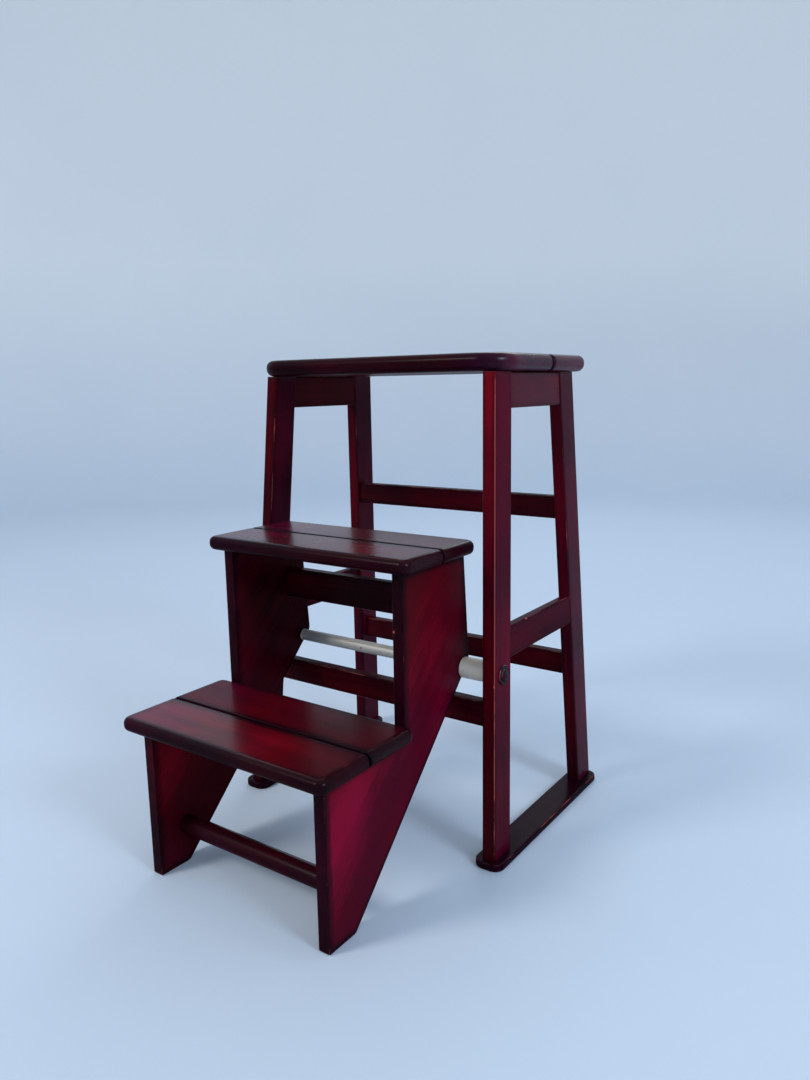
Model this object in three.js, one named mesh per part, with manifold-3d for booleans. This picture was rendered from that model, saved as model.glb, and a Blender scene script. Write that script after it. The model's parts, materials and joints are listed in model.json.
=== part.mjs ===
// Folding step stool. A seat frame stands on two runners, and a unit of two steps swings
// on a cross tube between its front legs. Open, the steps stand in front of the frame and
// lean on its stop rail. Folded, they lie under the seat with their feet up.
// Millimetres. X runs to the right of a person who climbs it, Y to the back and Z up.
// The origin is on the floor, below the middle of the open stool's outer box.
// Inside the stool, places along Y are counted from the axis that the steps turn on.

import * as THREE from 'three';
import { mergeVertices } from 'three/addons/utils/BufferGeometryUtils.js';
import Module from 'manifold-3d';

const wasm = await Module();
wasm.setup();

// Clearances
const glueGap = 0.25;
const restGap = 0.3;
const turnGap = 0.4;
const pocketGap = 1;
const cutOverrun = 2;

// Seat: two boards with a slit between them
const seatHeight = 630;
const seatThickness = 22;
const seatWidth = 396;
const seatFront = -5;
const seatBack = 242;
const seatSlitAt = 134;
const seatFrontCorner = 42;
const seatBackCorner = 16;

// Edges of the boards
const noseFlat = 2;
const slitWidth = 3.5;
const slitEase = 2;

// Legs: a flat section that leans in towards the seat both ways
const legThickness = 18;
const legDepth = 42;
const legArris = 2.5;
const legTopInset = 14.7;
const legSplay = 25.5;
const frontLegTopInset = 10;
const frontLegLean = 43.7;
const rearLegTopInset = 17.5;
const rearLegLean = 35.7;

// Aprons under the seat, and stretchers lower down the sides
const apronHeight = 44;
const apronThickness = 15;
const apronSetback = 1.5;
const stretcherBottom = 256;
const stretcherHeight = 40;
const stretcherThickness = 12;
const stretcherSetback = 0.8;

// Rails across the frame
const railHeight = 32;
const railThickness = 16;
const railArris = 2;
const stopRailLead = 2.5;
const upperBackRailBottom = 405.5;
const upperBackRailSetback = 4;
const lowerBackRailBottom = 173;
const lowerBackRailSetback = 10;

// Runners on the floor
const runnerWidth = 39;
const runnerThickness = 10;
const runnerFrontReach = 7.5;
const runnerBackReach = 5;
const runnerCorner = 14;
const runnerEase = 2.5;

// Pivot: a tube between the front legs, clamped by a rod with sunk nuts
const pivotHeight = 240;
const tubeRadius = 8;
const tubeWall = 1.5;
const tubeSocketDepth = 4;
const tubeMarkRadius = 1.5;
const tubeMarkAt = -17;
const spacerRadius = 13.5;
const spacerEase = 0.6;
const rodRadius = 4;
const rodEase = 0.8;
const nutPocketRadius = 9.5;
const nutPocketDepth = 9;
const nutRadius = 7.5;
const nutThickness = 5;
const washerRadius = 8.5;
const washerThickness = 1.4;
const buttonRadius = 12.8;
const buttonRise = 4.6;
const buttonRim = 1.6;
const buttonTenonLength = 1.5;

// Step unit: two stepped side panels, two treads, a cross rail and a round bar
const panelThickness = 15;
const panelFaceWidth = 284;
const panelFront = -277;
const footLength = 46;
const riserFront = -132;
const panelBackTop = 1.5;
const panelBackAtPivot = 13.5;
const kneeRise = 6;
const kneeRadius = 12;
const footToeRadius = 3;
const footHeelRadius = 7;
const panelCorner = 2.5;
const panelEase = 1.2;
const treadThickness = 18;
const treadSideReach = 16;
const treadCorner = 12;
const lowerTreadHeight = 209;
const lowerTreadFront = -298;
const lowerTreadSlitAt = -218;
const upperTreadHeight = 405;
const upperTreadFront = -148;
const upperTreadBack = 7;
const upperTreadSlitAt = -69;
const stepRailBottom = 304;
const stepRailHeight = 41;
const stepRailThickness = 15;
const stepRailFront = -32;
const footBarRadius = 12;
const footBarHeight = 51;
const footBarAt = -233;
const footBarSocket = 9;

// Tenons on the ends of the rails, and their lengths in legs and panels
const tenonShoulder = 3.5;
const tenonArris = 0.8;
const sideTenonLength = 14;
const crossTenonLength = 10;
const panelTenonLength = 8;

// Dowels and screws
const dowelRadius = 4;
const dowelShallow = 11;
const dowelDeep = 20;
const screwHeadRadius = 4.5;
const screwHeadDepth = 3;
const screwShankRadius = 2.2;
const screwTipLength = 4;
const screwSink = 1;
const seatScrewBite = 13;
const seatScrewInset = 30;
const runnerScrewLength = 34;

// Counts of facets
const arrisSteps = 1;
const cornerSteps = 4;
const noseSteps = 4;
const domeSteps = 5;
const dowelSides = 8;
const screwSides = 10;
const boreSides = 24;
const turnedSides = 32;
const nutSides = 6;

// Finishes
const stainedWood = { color: 0x4b1014, roughness: 0.32, metalness: 0 };
const plainWood = { color: 0xc9a06a, roughness: 0.7, metalness: 0 };
const aluminium = { color: 0xa9a399, roughness: 0.35, metalness: 1 };
const zincSteel = { color: 0x9aa0a6, roughness: 0.4, metalness: 1 };

// Directions and sides
const sideNames = [[-1, 'left'], [1, 'right']];
const upwards = new THREE.Vector3(0, 0, 1);
const forwards = new THREE.Vector3(0, -1, 0);
const backwards = new THREE.Vector3(0, 1, 0);
const outwards = (side) => new THREE.Vector3(side, 0, 0);

// Leg faces at a height: outer and inner along X, front and back along Y
const seatUnderside = seatHeight - seatThickness;
const legTop = seatUnderside - glueGap;
const legFoot = runnerThickness + glueGap;
const dropShare = (z) => 1 - z / seatUnderside;
const legOuter = (z) => seatWidth / 2 - legTopInset + legSplay * dropShare(z);
const legInner = (z) => legOuter(z) - legThickness;
const frontLegFront = (z) => seatFront + frontLegTopInset - frontLegLean * dropShare(z);
const frontLegBack = (z) => frontLegFront(z) + legDepth;
const rearLegBack = (z) => seatBack - rearLegTopInset + rearLegLean * dropShare(z);
const rearLegFront = (z) => rearLegBack(z) - legDepth;

// Side panels: their faces, ledges and the slant of their back edge
const panelOuter = panelFaceWidth / 2;
const panelInner = panelOuter - panelThickness;
const panelMiddle = panelOuter - panelThickness / 2;
const panelHeel = panelFront + footLength;
const panelKnee = pivotHeight + kneeRise;
const lowerLedge = lowerTreadHeight - treadThickness - glueGap;
const upperLedge = upperTreadHeight - treadThickness - glueGap;
const lowerTreadBack = riserFront - glueGap;
const treadWidth = panelFaceWidth + 2 * treadSideReach;

// A solid for cutting and joining, from any closed geometry
function solidOf(geometry) {
  geometry.deleteAttribute('normal');
  geometry.deleteAttribute('uv');
  const merged = mergeVertices(geometry);
  const corners = merged.index.array;
  const kept = [];
  for (let i = 0; i < corners.length; i += 3) {
    const [a, b, c] = [corners[i], corners[i + 1], corners[i + 2]];
    if (a !== b && b !== c && c !== a) kept.push(a, b, c);
  }
  return new wasm.Manifold(new wasm.Mesh({
    numProp: 3,
    vertProperties: new Float32Array(merged.attributes.position.array),
    triVerts: new Uint32Array(kept),
  }));
}

function geometryOf(body) {
  const mesh = body.getMesh();
  const geometry = new THREE.BufferGeometry();
  geometry.setAttribute('position', new THREE.BufferAttribute(mesh.vertProperties, 3));
  geometry.setIndex(new THREE.BufferAttribute(mesh.triVerts, 1));
  return geometry;
}

const cutAway = (body, cutters) => cutters.reduce((rest, cutter) => rest.subtract(cutter), body);

function place(group, name, body, finish) {
  const mesh = new THREE.Mesh(geometryOf(body), new THREE.MeshStandardMaterial(finish));
  mesh.name = name;
  group.add(mesh);
}

// Closed outline through corners of [across, along, radius], counter-clockwise.
// Each corner is rounded by an arc of its radius.
function roundedShape(corners) {
  const shape = new THREE.Shape();
  corners.forEach(([x, y, radius], index) => {
    const before = corners[(index + corners.length - 1) % corners.length];
    const after = corners[(index + 1) % corners.length];
    const corner = new THREE.Vector2(x, y);
    const toBefore = new THREE.Vector2(before[0] - x, before[1] - y).normalize();
    const toAfter = new THREE.Vector2(after[0] - x, after[1] - y).normalize();
    const half = Math.acos(toBefore.dot(toAfter)) / 2;
    const hollow = toBefore.cross(toAfter) > 0;
    const towards = toBefore.clone().add(toAfter).normalize();
    const centre = corner.clone().addScaledVector(towards, radius / Math.sin(half));
    const start = corner.clone().addScaledVector(toBefore, radius / Math.tan(half));
    const end = corner.clone().addScaledVector(toAfter, radius / Math.tan(half));
    if (index === 0) shape.moveTo(start.x, start.y);
    const startAngle = start.sub(centre).angle();
    const endAngle = end.sub(centre).angle();
    shape.absarc(centre.x, centre.y, radius, startAngle, endAngle, hollow);
  });
  shape.closePath();
  return shape;
}

const rectangle = (x0, x1, y0, y1, radius) => roundedShape([
  [x0, y0, radius],
  [x1, y0, radius],
  [x1, y1, radius],
  [x0, y1, radius],
]);

const ring = (outer, inner) => {
  const shape = new THREE.Shape().absarc(0, 0, outer, 0, 2 * Math.PI, false);
  shape.holes.push(new THREE.Path().absarc(0, 0, inner, 0, 2 * Math.PI, true));
  return shape;
};

// Straight extrusion from one level to another, with its arrises eased inside the outline
function extruded(shape, low, high, curveSegments, ease = 0, easeSteps = 0) {
  const geometry = new THREE.ExtrudeGeometry(shape, {
    depth: high - low - 2 * ease,
    bevelEnabled: ease > 0,
    bevelThickness: ease,
    bevelSize: ease,
    bevelOffset: -ease,
    bevelSegments: easeSteps,
    curveSegments,
  });
  return geometry.translate(0, 0, low + ease);
}

// Lays an upright extrusion down: an outline in Y and Z then runs along X
const alongX = (geometry) => geometry.applyMatrix4(
  new THREE.Matrix4().makeBasis(backwards, upwards, outwards(1)));

// Lays an upright extrusion down: an outline in X and Z then runs forwards
const alongY = (geometry) => geometry.applyMatrix4(
  new THREE.Matrix4().makeBasis(outwards(1), upwards, forwards));

// Moves each corner of a geometry to the place that a rule gives
function reshaped(geometry, rule) {
  const corners = geometry.attributes.position;
  const corner = new THREE.Vector3();
  for (let i = 0; i < corners.count; i += 1) {
    rule(corner.fromBufferAttribute(corners, i));
    corners.setXYZ(i, corner.x, corner.y, corner.z);
  }
  return geometry;
}

// Round bar with flat ends between two places
function roundBar(from, to, radius, sides) {
  const run = to.clone().sub(from);
  const turn = new THREE.Quaternion().setFromUnitVectors(backwards, run.clone().normalize());
  const geometry = new THREE.CylinderGeometry(radius, radius, run.length(), sides);
  const middle = from.clone().add(to).multiplyScalar(0.5);
  return solidOf(geometry.applyQuaternion(turn).translate(middle.x, middle.y, middle.z));
}

// Turned shape: a profile of [radius, height] spun round an axis that starts at a place
function turned(profile, from, axis, sides) {
  const points = profile.map(([radius, height]) => new THREE.Vector2(radius, height));
  const turn = new THREE.Quaternion().setFromUnitVectors(backwards, axis);
  const geometry = new THREE.LatheGeometry(points, sides).applyQuaternion(turn);
  return solidOf(geometry.translate(from.x, from.y, from.z));
}

// Upright dowels. Each crosses the face between two pieces, and its holes are a little larger.
function dowelBody({ at }, gap = 0, endGap = 0) {
  const from = at.clone().addScaledVector(upwards, -dowelDeep - endGap);
  const to = at.clone().addScaledVector(upwards, dowelShallow + endGap);
  return roundBar(from, to, dowelRadius + gap, dowelSides);
}

const dowelHole = (dowel) => dowelBody(dowel, restGap, pocketGap);

// Countersunk screws. The head's face is at a place, and the shank points up.
function screwBody({ at, length }) {
  const profile = [
    [0, 0],
    [screwHeadRadius, 0],
    [screwShankRadius, screwHeadDepth],
    [screwShankRadius, length - screwTipLength],
    [0, length],
  ];
  return turned(profile, at, upwards, screwSides);
}

function screwHole({ at, length }) {
  const mouth = -screwSink - cutOverrun;
  const profile = [
    [0, mouth],
    [screwHeadRadius + restGap, mouth],
    [screwHeadRadius + restGap, 0],
    [screwShankRadius + restGap, screwHeadDepth],
    [screwShankRadius + restGap, length],
    [0, length + pocketGap],
  ];
  return turned(profile, at, upwards, screwSides);
}

// Board: a rounded plan with a full nose all round, parted by a slit with eased arrises
function board(plan, top, thickness, slitAt, keepsFront, reach) {
  const nose = (thickness - noseFlat) / 2;
  const low = top - thickness;
  const whole = solidOf(extruded(plan, low, top, cornerSteps, nose, noseSteps));
  const away = keepsFront ? 1 : -1;
  const face = slitAt - away * slitWidth / 2;
  const easedFace = face - away * slitEase;
  const far = face + away * reach;
  const outline = [
    [far, low - cutOverrun],
    [far, top + cutOverrun],
    [easedFace, top + cutOverrun],
    [easedFace, top],
    [face, top - slitEase],
    [face, low + slitEase],
    [easedFace, low],
    [easedFace, low - cutOverrun],
  ];
  const shape = new THREE.Shape(outline.map(([y, z]) => new THREE.Vector2(y, z)));
  return whole.subtract(solidOf(alongX(extruded(shape, -reach, reach, cornerSteps))));
}

// Leg: a flat section raised from the runner to the seat, and sheared to its lean and splay
function leg(side, frontFace, lean) {
  const outer = side * legOuter(0);
  const [low, high] = side > 0 ? [outer - legThickness, outer] : [outer, outer + legThickness];
  const section = rectangle(low, high, frontFace(0), frontFace(0) + legDepth, legArris);
  const shear = (corner) => {
    corner.x -= side * legSplay * corner.z / seatUnderside;
    corner.y += lean * corner.z / seatUnderside;
  };
  return solidOf(reshaped(extruded(section, legFoot, legTop, arrisSteps), shear));
}

// Tenons run on through their rail, so that one bar makes both. A mortise is a little larger.
const tenonSection = (x0, x1, y0, y1, gap) => {
  const inset = tenonShoulder - gap;
  return rectangle(x0 + inset, x1 - inset, y0 + inset, y1 - inset, tenonArris);
};

// Side rail: a section whose ends follow the front and rear legs, and whose face their splay
const sideMiddle = ({ thickness, setback }, z) => legOuter(z) - setback - thickness / 2;

function sideBar(side, rail, section, frontAt, backAt) {
  const fit = (corner) => {
    corner.x += side * sideMiddle(rail, corner.z);
    corner.y = THREE.MathUtils.lerp(backAt(corner.z), frontAt(corner.z), -corner.y);
  };
  return solidOf(reshaped(alongY(extruded(section, 0, 1, arrisSteps)), fit));
}

function sideRail(side, rail) {
  const { low, high, thickness } = rail;
  const section = rectangle(-thickness / 2, thickness / 2, low, high, railArris);
  const frontAt = (z) => frontLegBack(z) + glueGap;
  const backAt = (z) => rearLegFront(z) - glueGap;
  return sideBar(side, rail, section, frontAt, backAt);
}

function sideTenons(side, rail, gap = 0, endGap = 0) {
  const { low, high, thickness } = rail;
  const section = tenonSection(-thickness / 2, thickness / 2, low, high, gap);
  const middle = (low + high) / 2;
  const reach = sideTenonLength + endGap;
  const frontAt = () => frontLegBack(middle) - reach;
  const backAt = () => rearLegFront(middle) + reach;
  return sideBar(side, rail, section, frontAt, backAt);
}

// Cross rail of the frame: a section whose ends follow the splay of the legs
function legRail({ front, low }) {
  const section = rectangle(front, front + railThickness, low, low + railHeight, railArris);
  const fit = (corner) => {
    corner.x *= legInner(corner.z) - glueGap;
  };
  return solidOf(reshaped(alongX(extruded(section, -1, 1, arrisSteps)), fit));
}

function crossTenons({ front, low, thickness, height, reach }, gap = 0, endGap = 0) {
  const section = tenonSection(front, front + thickness, low, low + height, gap);
  const end = reach + endGap;
  return solidOf(alongX(extruded(section, -end, end, arrisSteps)));
}

const mortise = (tenons, ...details) => tenons(...details, glueGap, pocketGap);

// Rails along the sides
const apronTop = seatUnderside - glueGap;
const apron = {
  low: apronTop - apronHeight,
  high: apronTop,
  thickness: apronThickness,
  setback: apronSetback,
};
const stretcher = {
  low: stretcherBottom,
  high: stretcherBottom + stretcherHeight,
  thickness: stretcherThickness,
  setback: stretcherSetback,
};
const sideRails = [['seat_apron', apron], ['side_stretcher', stretcher]];

// The stop rail lies under the slanted back edge of the panels, touched at its front arris
const backSlope = panelKnee / (panelBackAtPivot - panelHeel);
const stopRailFront = frontLegFront(pivotHeight) - stopRailLead;
const stopArrisHeight = (stopRailFront + railArris - panelHeel) * backSlope
  - (railArris + restGap) * Math.hypot(1, backSlope);

// Rails across the frame
const acrossLegs = (front, low) => ({
  front,
  low,
  thickness: railThickness,
  height: railHeight,
  reach: legInner(low + railHeight / 2) + crossTenonLength,
});
const upperBackRailFront = rearLegFront(upperBackRailBottom) + upperBackRailSetback;
const lowerBackRailFront = rearLegFront(lowerBackRailBottom) + lowerBackRailSetback;
const legRails = [
  ['front_stop_rail', acrossLegs(stopRailFront, stopArrisHeight + railArris - railHeight)],
  ['back_rail_upper', acrossLegs(upperBackRailFront, upperBackRailBottom)],
  ['back_rail_lower', acrossLegs(lowerBackRailFront, lowerBackRailBottom)],
];
const frameMortises = [
  ...sideNames.flatMap(([side]) => sideRails.map(([, rail]) => mortise(sideTenons, side, rail))),
  ...legRails.map(([, rail]) => mortise(crossTenons, rail)),
];

// Dowels from the legs into the seat, and screws up through the runners into the legs
const legEnds = [['front', frontLegFront], ['rear', rearLegFront]];
const legDowels = sideNames.flatMap(([side, sideName]) => legEnds.map(([end, frontFace]) => {
  const x = side * (legOuter(legTop) - legThickness / 2);
  const y = frontFace(legTop) + legDepth / 2;
  return { name: `${end}_leg_dowel_${sideName}`, at: new THREE.Vector3(x, y, seatUnderside) };
}));
const runnerMiddle = legOuter(0) - legThickness / 2;
const runnerScrews = sideNames.flatMap(([side, sideName]) => legEnds.map(([end, frontFace]) => {
  const at = new THREE.Vector3(side * runnerMiddle, frontFace(0) + legDepth / 2, screwSink);
  return { name: `runner_screw_${end}_${sideName}`, at, length: runnerScrewLength };
}));

// Screws up through the aprons into the seat
const seatScrewFoot = apron.low + screwSink;
const seatScrewPlaces = [
  ['front', frontLegBack(apronTop) + seatScrewInset],
  ['rear', rearLegFront(apronTop) - seatScrewInset],
];
const seatScrews = sideNames.flatMap(([side, sideName]) => seatScrewPlaces.map(([end, y]) => {
  const at = new THREE.Vector3(side * sideMiddle(apron, seatScrewFoot), y, seatScrewFoot);
  const length = seatUnderside + seatScrewBite - seatScrewFoot;
  return { name: `seat_screw_${end}_${sideName}`, at, length };
}));

// Seat frame
const seatFrame = new THREE.Group();
const legDowelHoles = legDowels.map(dowelHole);
const seatScrewHoles = seatScrews.map(screwHole);
const runnerScrewHoles = runnerScrews.map(screwHole);

const seatPlan = roundedShape([
  [-seatWidth / 2, seatFront, seatFrontCorner],
  [seatWidth / 2, seatFront, seatFrontCorner],
  [seatWidth / 2, seatBack, seatBackCorner],
  [-seatWidth / 2, seatBack, seatBackCorner],
]);
[['seat_front_board', true], ['seat_rear_board', false]].forEach(([name, keepsFront]) => {
  const plank = board(seatPlan, seatHeight, seatThickness, seatSlitAt, keepsFront, seatWidth);
  place(seatFrame, name, cutAway(plank, [...legDowelHoles, ...seatScrewHoles]), stainedWood);
});

// Front leg holes at the pivot: a socket for the tube, a rod hole and a pocket for the nut
const axisPoint = (x) => new THREE.Vector3(x, 0, pivotHeight);
const nutPocketFloor = legOuter(pivotHeight) - nutPocketDepth;
const tubeSocketFloor = legInner(pivotHeight) + tubeSocketDepth;
const legInside = legInner(pivotHeight) - cutOverrun;
const legOutside = legOuter(pivotHeight) + cutOverrun;
const pivotHoles = sideNames.flatMap(([side]) => [
  [legInside, tubeSocketFloor, tubeRadius + restGap],
  [legInside, legOutside, rodRadius + restGap],
  [nutPocketFloor, legOutside, nutPocketRadius],
].map(([from, to, radius]) => (
  roundBar(axisPoint(side * from), axisPoint(side * to), radius, boreSides)
)));

const legCuts = [...legDowelHoles, ...runnerScrewHoles, ...pivotHoles, ...frameMortises];
sideNames.forEach(([side, sideName]) => {
  const frontLeg = leg(side, frontLegFront, frontLegLean);
  const rearLeg = leg(side, rearLegFront, -rearLegLean);
  place(seatFrame, `front_leg_${sideName}`, cutAway(frontLeg, legCuts), stainedWood);
  place(seatFrame, `rear_leg_${sideName}`, cutAway(rearLeg, legCuts), stainedWood);

  sideRails.forEach(([name, rail]) => {
    const body = sideRail(side, rail).add(sideTenons(side, rail));
    place(seatFrame, `${name}_${sideName}`, cutAway(body, seatScrewHoles), stainedWood);
  });
});

legRails.forEach(([name, rail]) => {
  place(seatFrame, name, legRail(rail).add(crossTenons(rail)), stainedWood);
});

// Runners, with eased arrises and round ends
const runnerFront = frontLegFront(0) - runnerFrontReach;
const runnerBack = rearLegBack(0) + runnerBackReach;
sideNames.forEach(([side, sideName]) => {
  const low = side * runnerMiddle - runnerWidth / 2;
  const plan = rectangle(low, low + runnerWidth, runnerFront, runnerBack, runnerCorner);
  const runner = solidOf(
    extruded(plan, 0, runnerThickness, cornerSteps, runnerEase, arrisSteps));
  place(seatFrame, `runner_${sideName}`, cutAway(runner, runnerScrewHoles), stainedWood);
});

legDowels.forEach((dowel) => place(seatFrame, dowel.name, dowelBody(dowel), plainWood));
[...seatScrews, ...runnerScrews].forEach((screw) => {
  place(seatFrame, screw.name, screwBody(screw), zincSteel);
});

// Pivot tube, with a small hole drilled in its front
const tubeEnd = tubeSocketFloor - restGap;
const onAxis = (shape, from, to, ease = 0) => solidOf(
  alongX(extruded(shape, from, to, turnedSides / 2, ease, arrisSteps)).translate(0, 0, pivotHeight));
const tubeMark = roundBar(
  axisPoint(tubeMarkAt),
  axisPoint(tubeMarkAt).addScaledVector(forwards, tubeRadius + cutOverrun),
  tubeMarkRadius,
  dowelSides,
);
const tube = onAxis(ring(tubeRadius, tubeRadius - tubeWall), -tubeEnd, tubeEnd);
place(seatFrame, 'pivot_tube', tube.subtract(tubeMark), aluminium);

// Spacers on the tube keep the steps midway between the legs
const spacerStart = panelOuter + turnGap;
const spacerEnd = legInner(pivotHeight + spacerRadius) - restGap;
const spacerRing = ring(spacerRadius, tubeRadius + restGap);

// Washers and nuts lie in the leg pockets, and the nuts draw the rod tight
const washerStart = nutPocketFloor + glueGap;
const washerEnd = washerStart + washerThickness;
const nutStart = washerEnd + glueGap;
const nutEnd = nutStart + nutThickness;
const washerRing = ring(washerRadius, rodRadius + restGap);
const nutPlan = new THREE.Shape(Array.from({ length: nutSides }, (_, index) => (
  new THREE.Vector2(nutRadius, 0).rotateAround(new THREE.Vector2(), 2 * Math.PI * index / nutSides)
)));
nutPlan.holes.push(new THREE.Path().absarc(0, 0, rodRadius + restGap, 0, 2 * Math.PI, true));
sideNames.forEach(([side, sideName]) => {
  const onSide = (shape, near, far, ease) => (
    side > 0 ? onAxis(shape, near, far, ease) : onAxis(shape, -far, -near, ease));
  const spacer = onSide(spacerRing, spacerStart, spacerEnd, spacerEase);
  const washer = onSide(washerRing, washerStart, washerEnd);
  const nut = onSide(nutPlan, nutStart, nutEnd);
  place(seatFrame, `spacer_${sideName}`, spacer, aluminium);
  place(seatFrame, `pivot_washer_${sideName}`, washer, zincSteel);
  place(seatFrame, `pivot_nut_${sideName}`, nut, zincSteel);
});

const rodProfile = [
  [0, -nutEnd],
  [rodRadius - rodEase, -nutEnd],
  [rodRadius, rodEase - nutEnd],
  [rodRadius, nutEnd - rodEase],
  [rodRadius - rodEase, nutEnd],
  [0, nutEnd],
];
place(seatFrame, 'pivot_rod', turned(rodProfile, axisPoint(0), outwards(1), boreSides), zincSteel);

// Turned wooden buttons close the nut pockets. Each sits square to the splayed leg.
const domeProfile = Array.from({ length: domeSteps + 1 }, (_, index) => {
  const angle = index / domeSteps * Math.PI / 2;
  const rise = (buttonRise - buttonRim) * Math.sin(angle);
  return [buttonRadius * Math.cos(angle), buttonRim + rise];
});
domeProfile[domeSteps][0] = 0;
const tenonRadius = nutPocketRadius - restGap;
const buttonProfile = [
  [0, -buttonTenonLength],
  [tenonRadius, -buttonTenonLength],
  [tenonRadius, restGap],
  [buttonRadius - buttonRim / 2, restGap],
  [buttonRadius, buttonRim / 2],
  ...domeProfile,
];
sideNames.forEach(([side, sideName]) => {
  const square = new THREE.Vector3(side * seatUnderside, 0, legSplay).normalize();
  const at = axisPoint(side * legOuter(pivotHeight));
  const button = turned(buttonProfile, at, square, turnedSides);
  place(seatFrame, `leg_button_${sideName}`, button, stainedWood);
});

// Step unit
const stepUnit = new THREE.Group();

// Treads rest on the ledges of the panels. Each is two boards, held by a dowel at each end.
const treads = [
  {
    name: 'lower_tread',
    top: lowerTreadHeight,
    front: lowerTreadFront,
    back: lowerTreadBack,
    slitAt: lowerTreadSlitAt,
    ledge: [lowerLedge, panelFront, riserFront],
  },
  {
    name: 'upper_tread',
    top: upperTreadHeight,
    front: upperTreadFront,
    back: upperTreadBack,
    slitAt: upperTreadSlitAt,
    ledge: [upperLedge, riserFront, panelBackTop],
  },
];
const treadDowels = treads.flatMap(({ name, slitAt, ledge: [z, ledgeFront, ledgeBack] }) => (
  [['front', ledgeFront, slitAt], ['rear', slitAt, ledgeBack]].flatMap(([end, front, back]) => (
    sideNames.map(([side, sideName]) => ({
      name: `${name}_${end}_dowel_${sideName}`,
      at: new THREE.Vector3(side * panelMiddle, (front + back) / 2, z),
    }))
  ))
));
const treadDowelHoles = treadDowels.map(dowelHole);
treads.forEach(({ name, top, front, back, slitAt }) => {
  const plan = rectangle(-treadWidth / 2, treadWidth / 2, front, back, treadCorner);
  [['front', true], ['rear', false]].forEach(([end, keepsFront]) => {
    const plank = board(plan, top, treadThickness, slitAt, keepsFront, treadWidth);
    place(stepUnit, `${name}_${end}_board`, cutAway(plank, treadDowelHoles), stainedWood);
  });
});
treadDowels.forEach((dowel) => place(stepUnit, dowel.name, dowelBody(dowel), plainWood));

// Cross rail under the upper tread, tenoned into the panels
const stepRailSection = rectangle(
  stepRailFront,
  stepRailFront + stepRailThickness,
  stepRailBottom,
  stepRailBottom + stepRailHeight,
  railArris,
);
const stepRailEnd = panelInner - glueGap;
const stepRail = solidOf(alongX(extruded(stepRailSection, -stepRailEnd, stepRailEnd, arrisSteps)));
const acrossPanels = {
  front: stepRailFront,
  low: stepRailBottom,
  thickness: stepRailThickness,
  height: stepRailHeight,
  reach: panelInner + panelTenonLength,
};
place(stepUnit, 'step_cross_rail', stepRail.add(crossTenons(acrossPanels)), stainedWood);

// Round bar between the feet
const footBarPoint = (x) => new THREE.Vector3(x, footBarAt, footBarHeight);
const footBarEnd = panelInner + footBarSocket;
const footBar = roundBar(
  footBarPoint(restGap - footBarEnd), footBarPoint(footBarEnd - restGap), footBarRadius, turnedSides);
const footBarHole = roundBar(
  footBarPoint(-footBarEnd), footBarPoint(footBarEnd), footBarRadius + restGap, turnedSides);
place(stepUnit, 'step_foot_bar', footBar, stainedWood);

// Stepped side panels, bored for the tube
const panelOutline = [
  [panelFront, 0, footToeRadius],
  [panelHeel, 0, footHeelRadius],
  [panelBackAtPivot, panelKnee, kneeRadius],
  [panelBackTop, upperLedge, panelCorner],
  [riserFront, upperLedge, panelCorner],
  [riserFront, lowerLedge, panelCorner],
  [panelFront, lowerLedge, panelCorner],
];
const panelShape = roundedShape(panelOutline);
const tubeBore = roundBar(
  axisPoint(-panelOuter - cutOverrun),
  axisPoint(panelOuter + cutOverrun),
  tubeRadius + turnGap,
  turnedSides,
);
sideNames.forEach(([side, sideName]) => {
  const [from, to] = side > 0 ? [panelInner, panelOuter] : [-panelOuter, -panelInner];
  const panel = solidOf(alongX(extruded(panelShape, from, to, arrisSteps, panelEase, arrisSteps)));
  const railMortise = mortise(crossTenons, acrossPanels);
  const panelCuts = [...treadDowelHoles, railMortise, footBarHole, tubeBore];
  place(stepUnit, `step_panel_${sideName}`, cutAway(panel, panelCuts), stainedWood);
});

// The open stool reaches from the nose of the lower tread to the back of the runners
const stool = new THREE.Group();
stool.position.y = -(lowerTreadFront + runnerBack) / 2;
stool.add(seatFrame, stepUnit);

export default stool;
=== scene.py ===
# %% [markdown]
# Folding step stool. A seat frame of four slanting legs stands on two runners, and a unit of two
# steps turns on a cross tube between the front legs. Every wooden piece is stained a dark
# red-brown and lacquered, and the tube and its spacers are aluminium.
# The packed model gives the size and place of every piece. This file makes each visible one
# again with fine roundings, gives it its grain and its wear, and lights it.

import collections
import json
import math

import bmesh
import bpy
import numpy as np
from mathutils import Color, Euler, Matrix, Vector, kdtree


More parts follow.
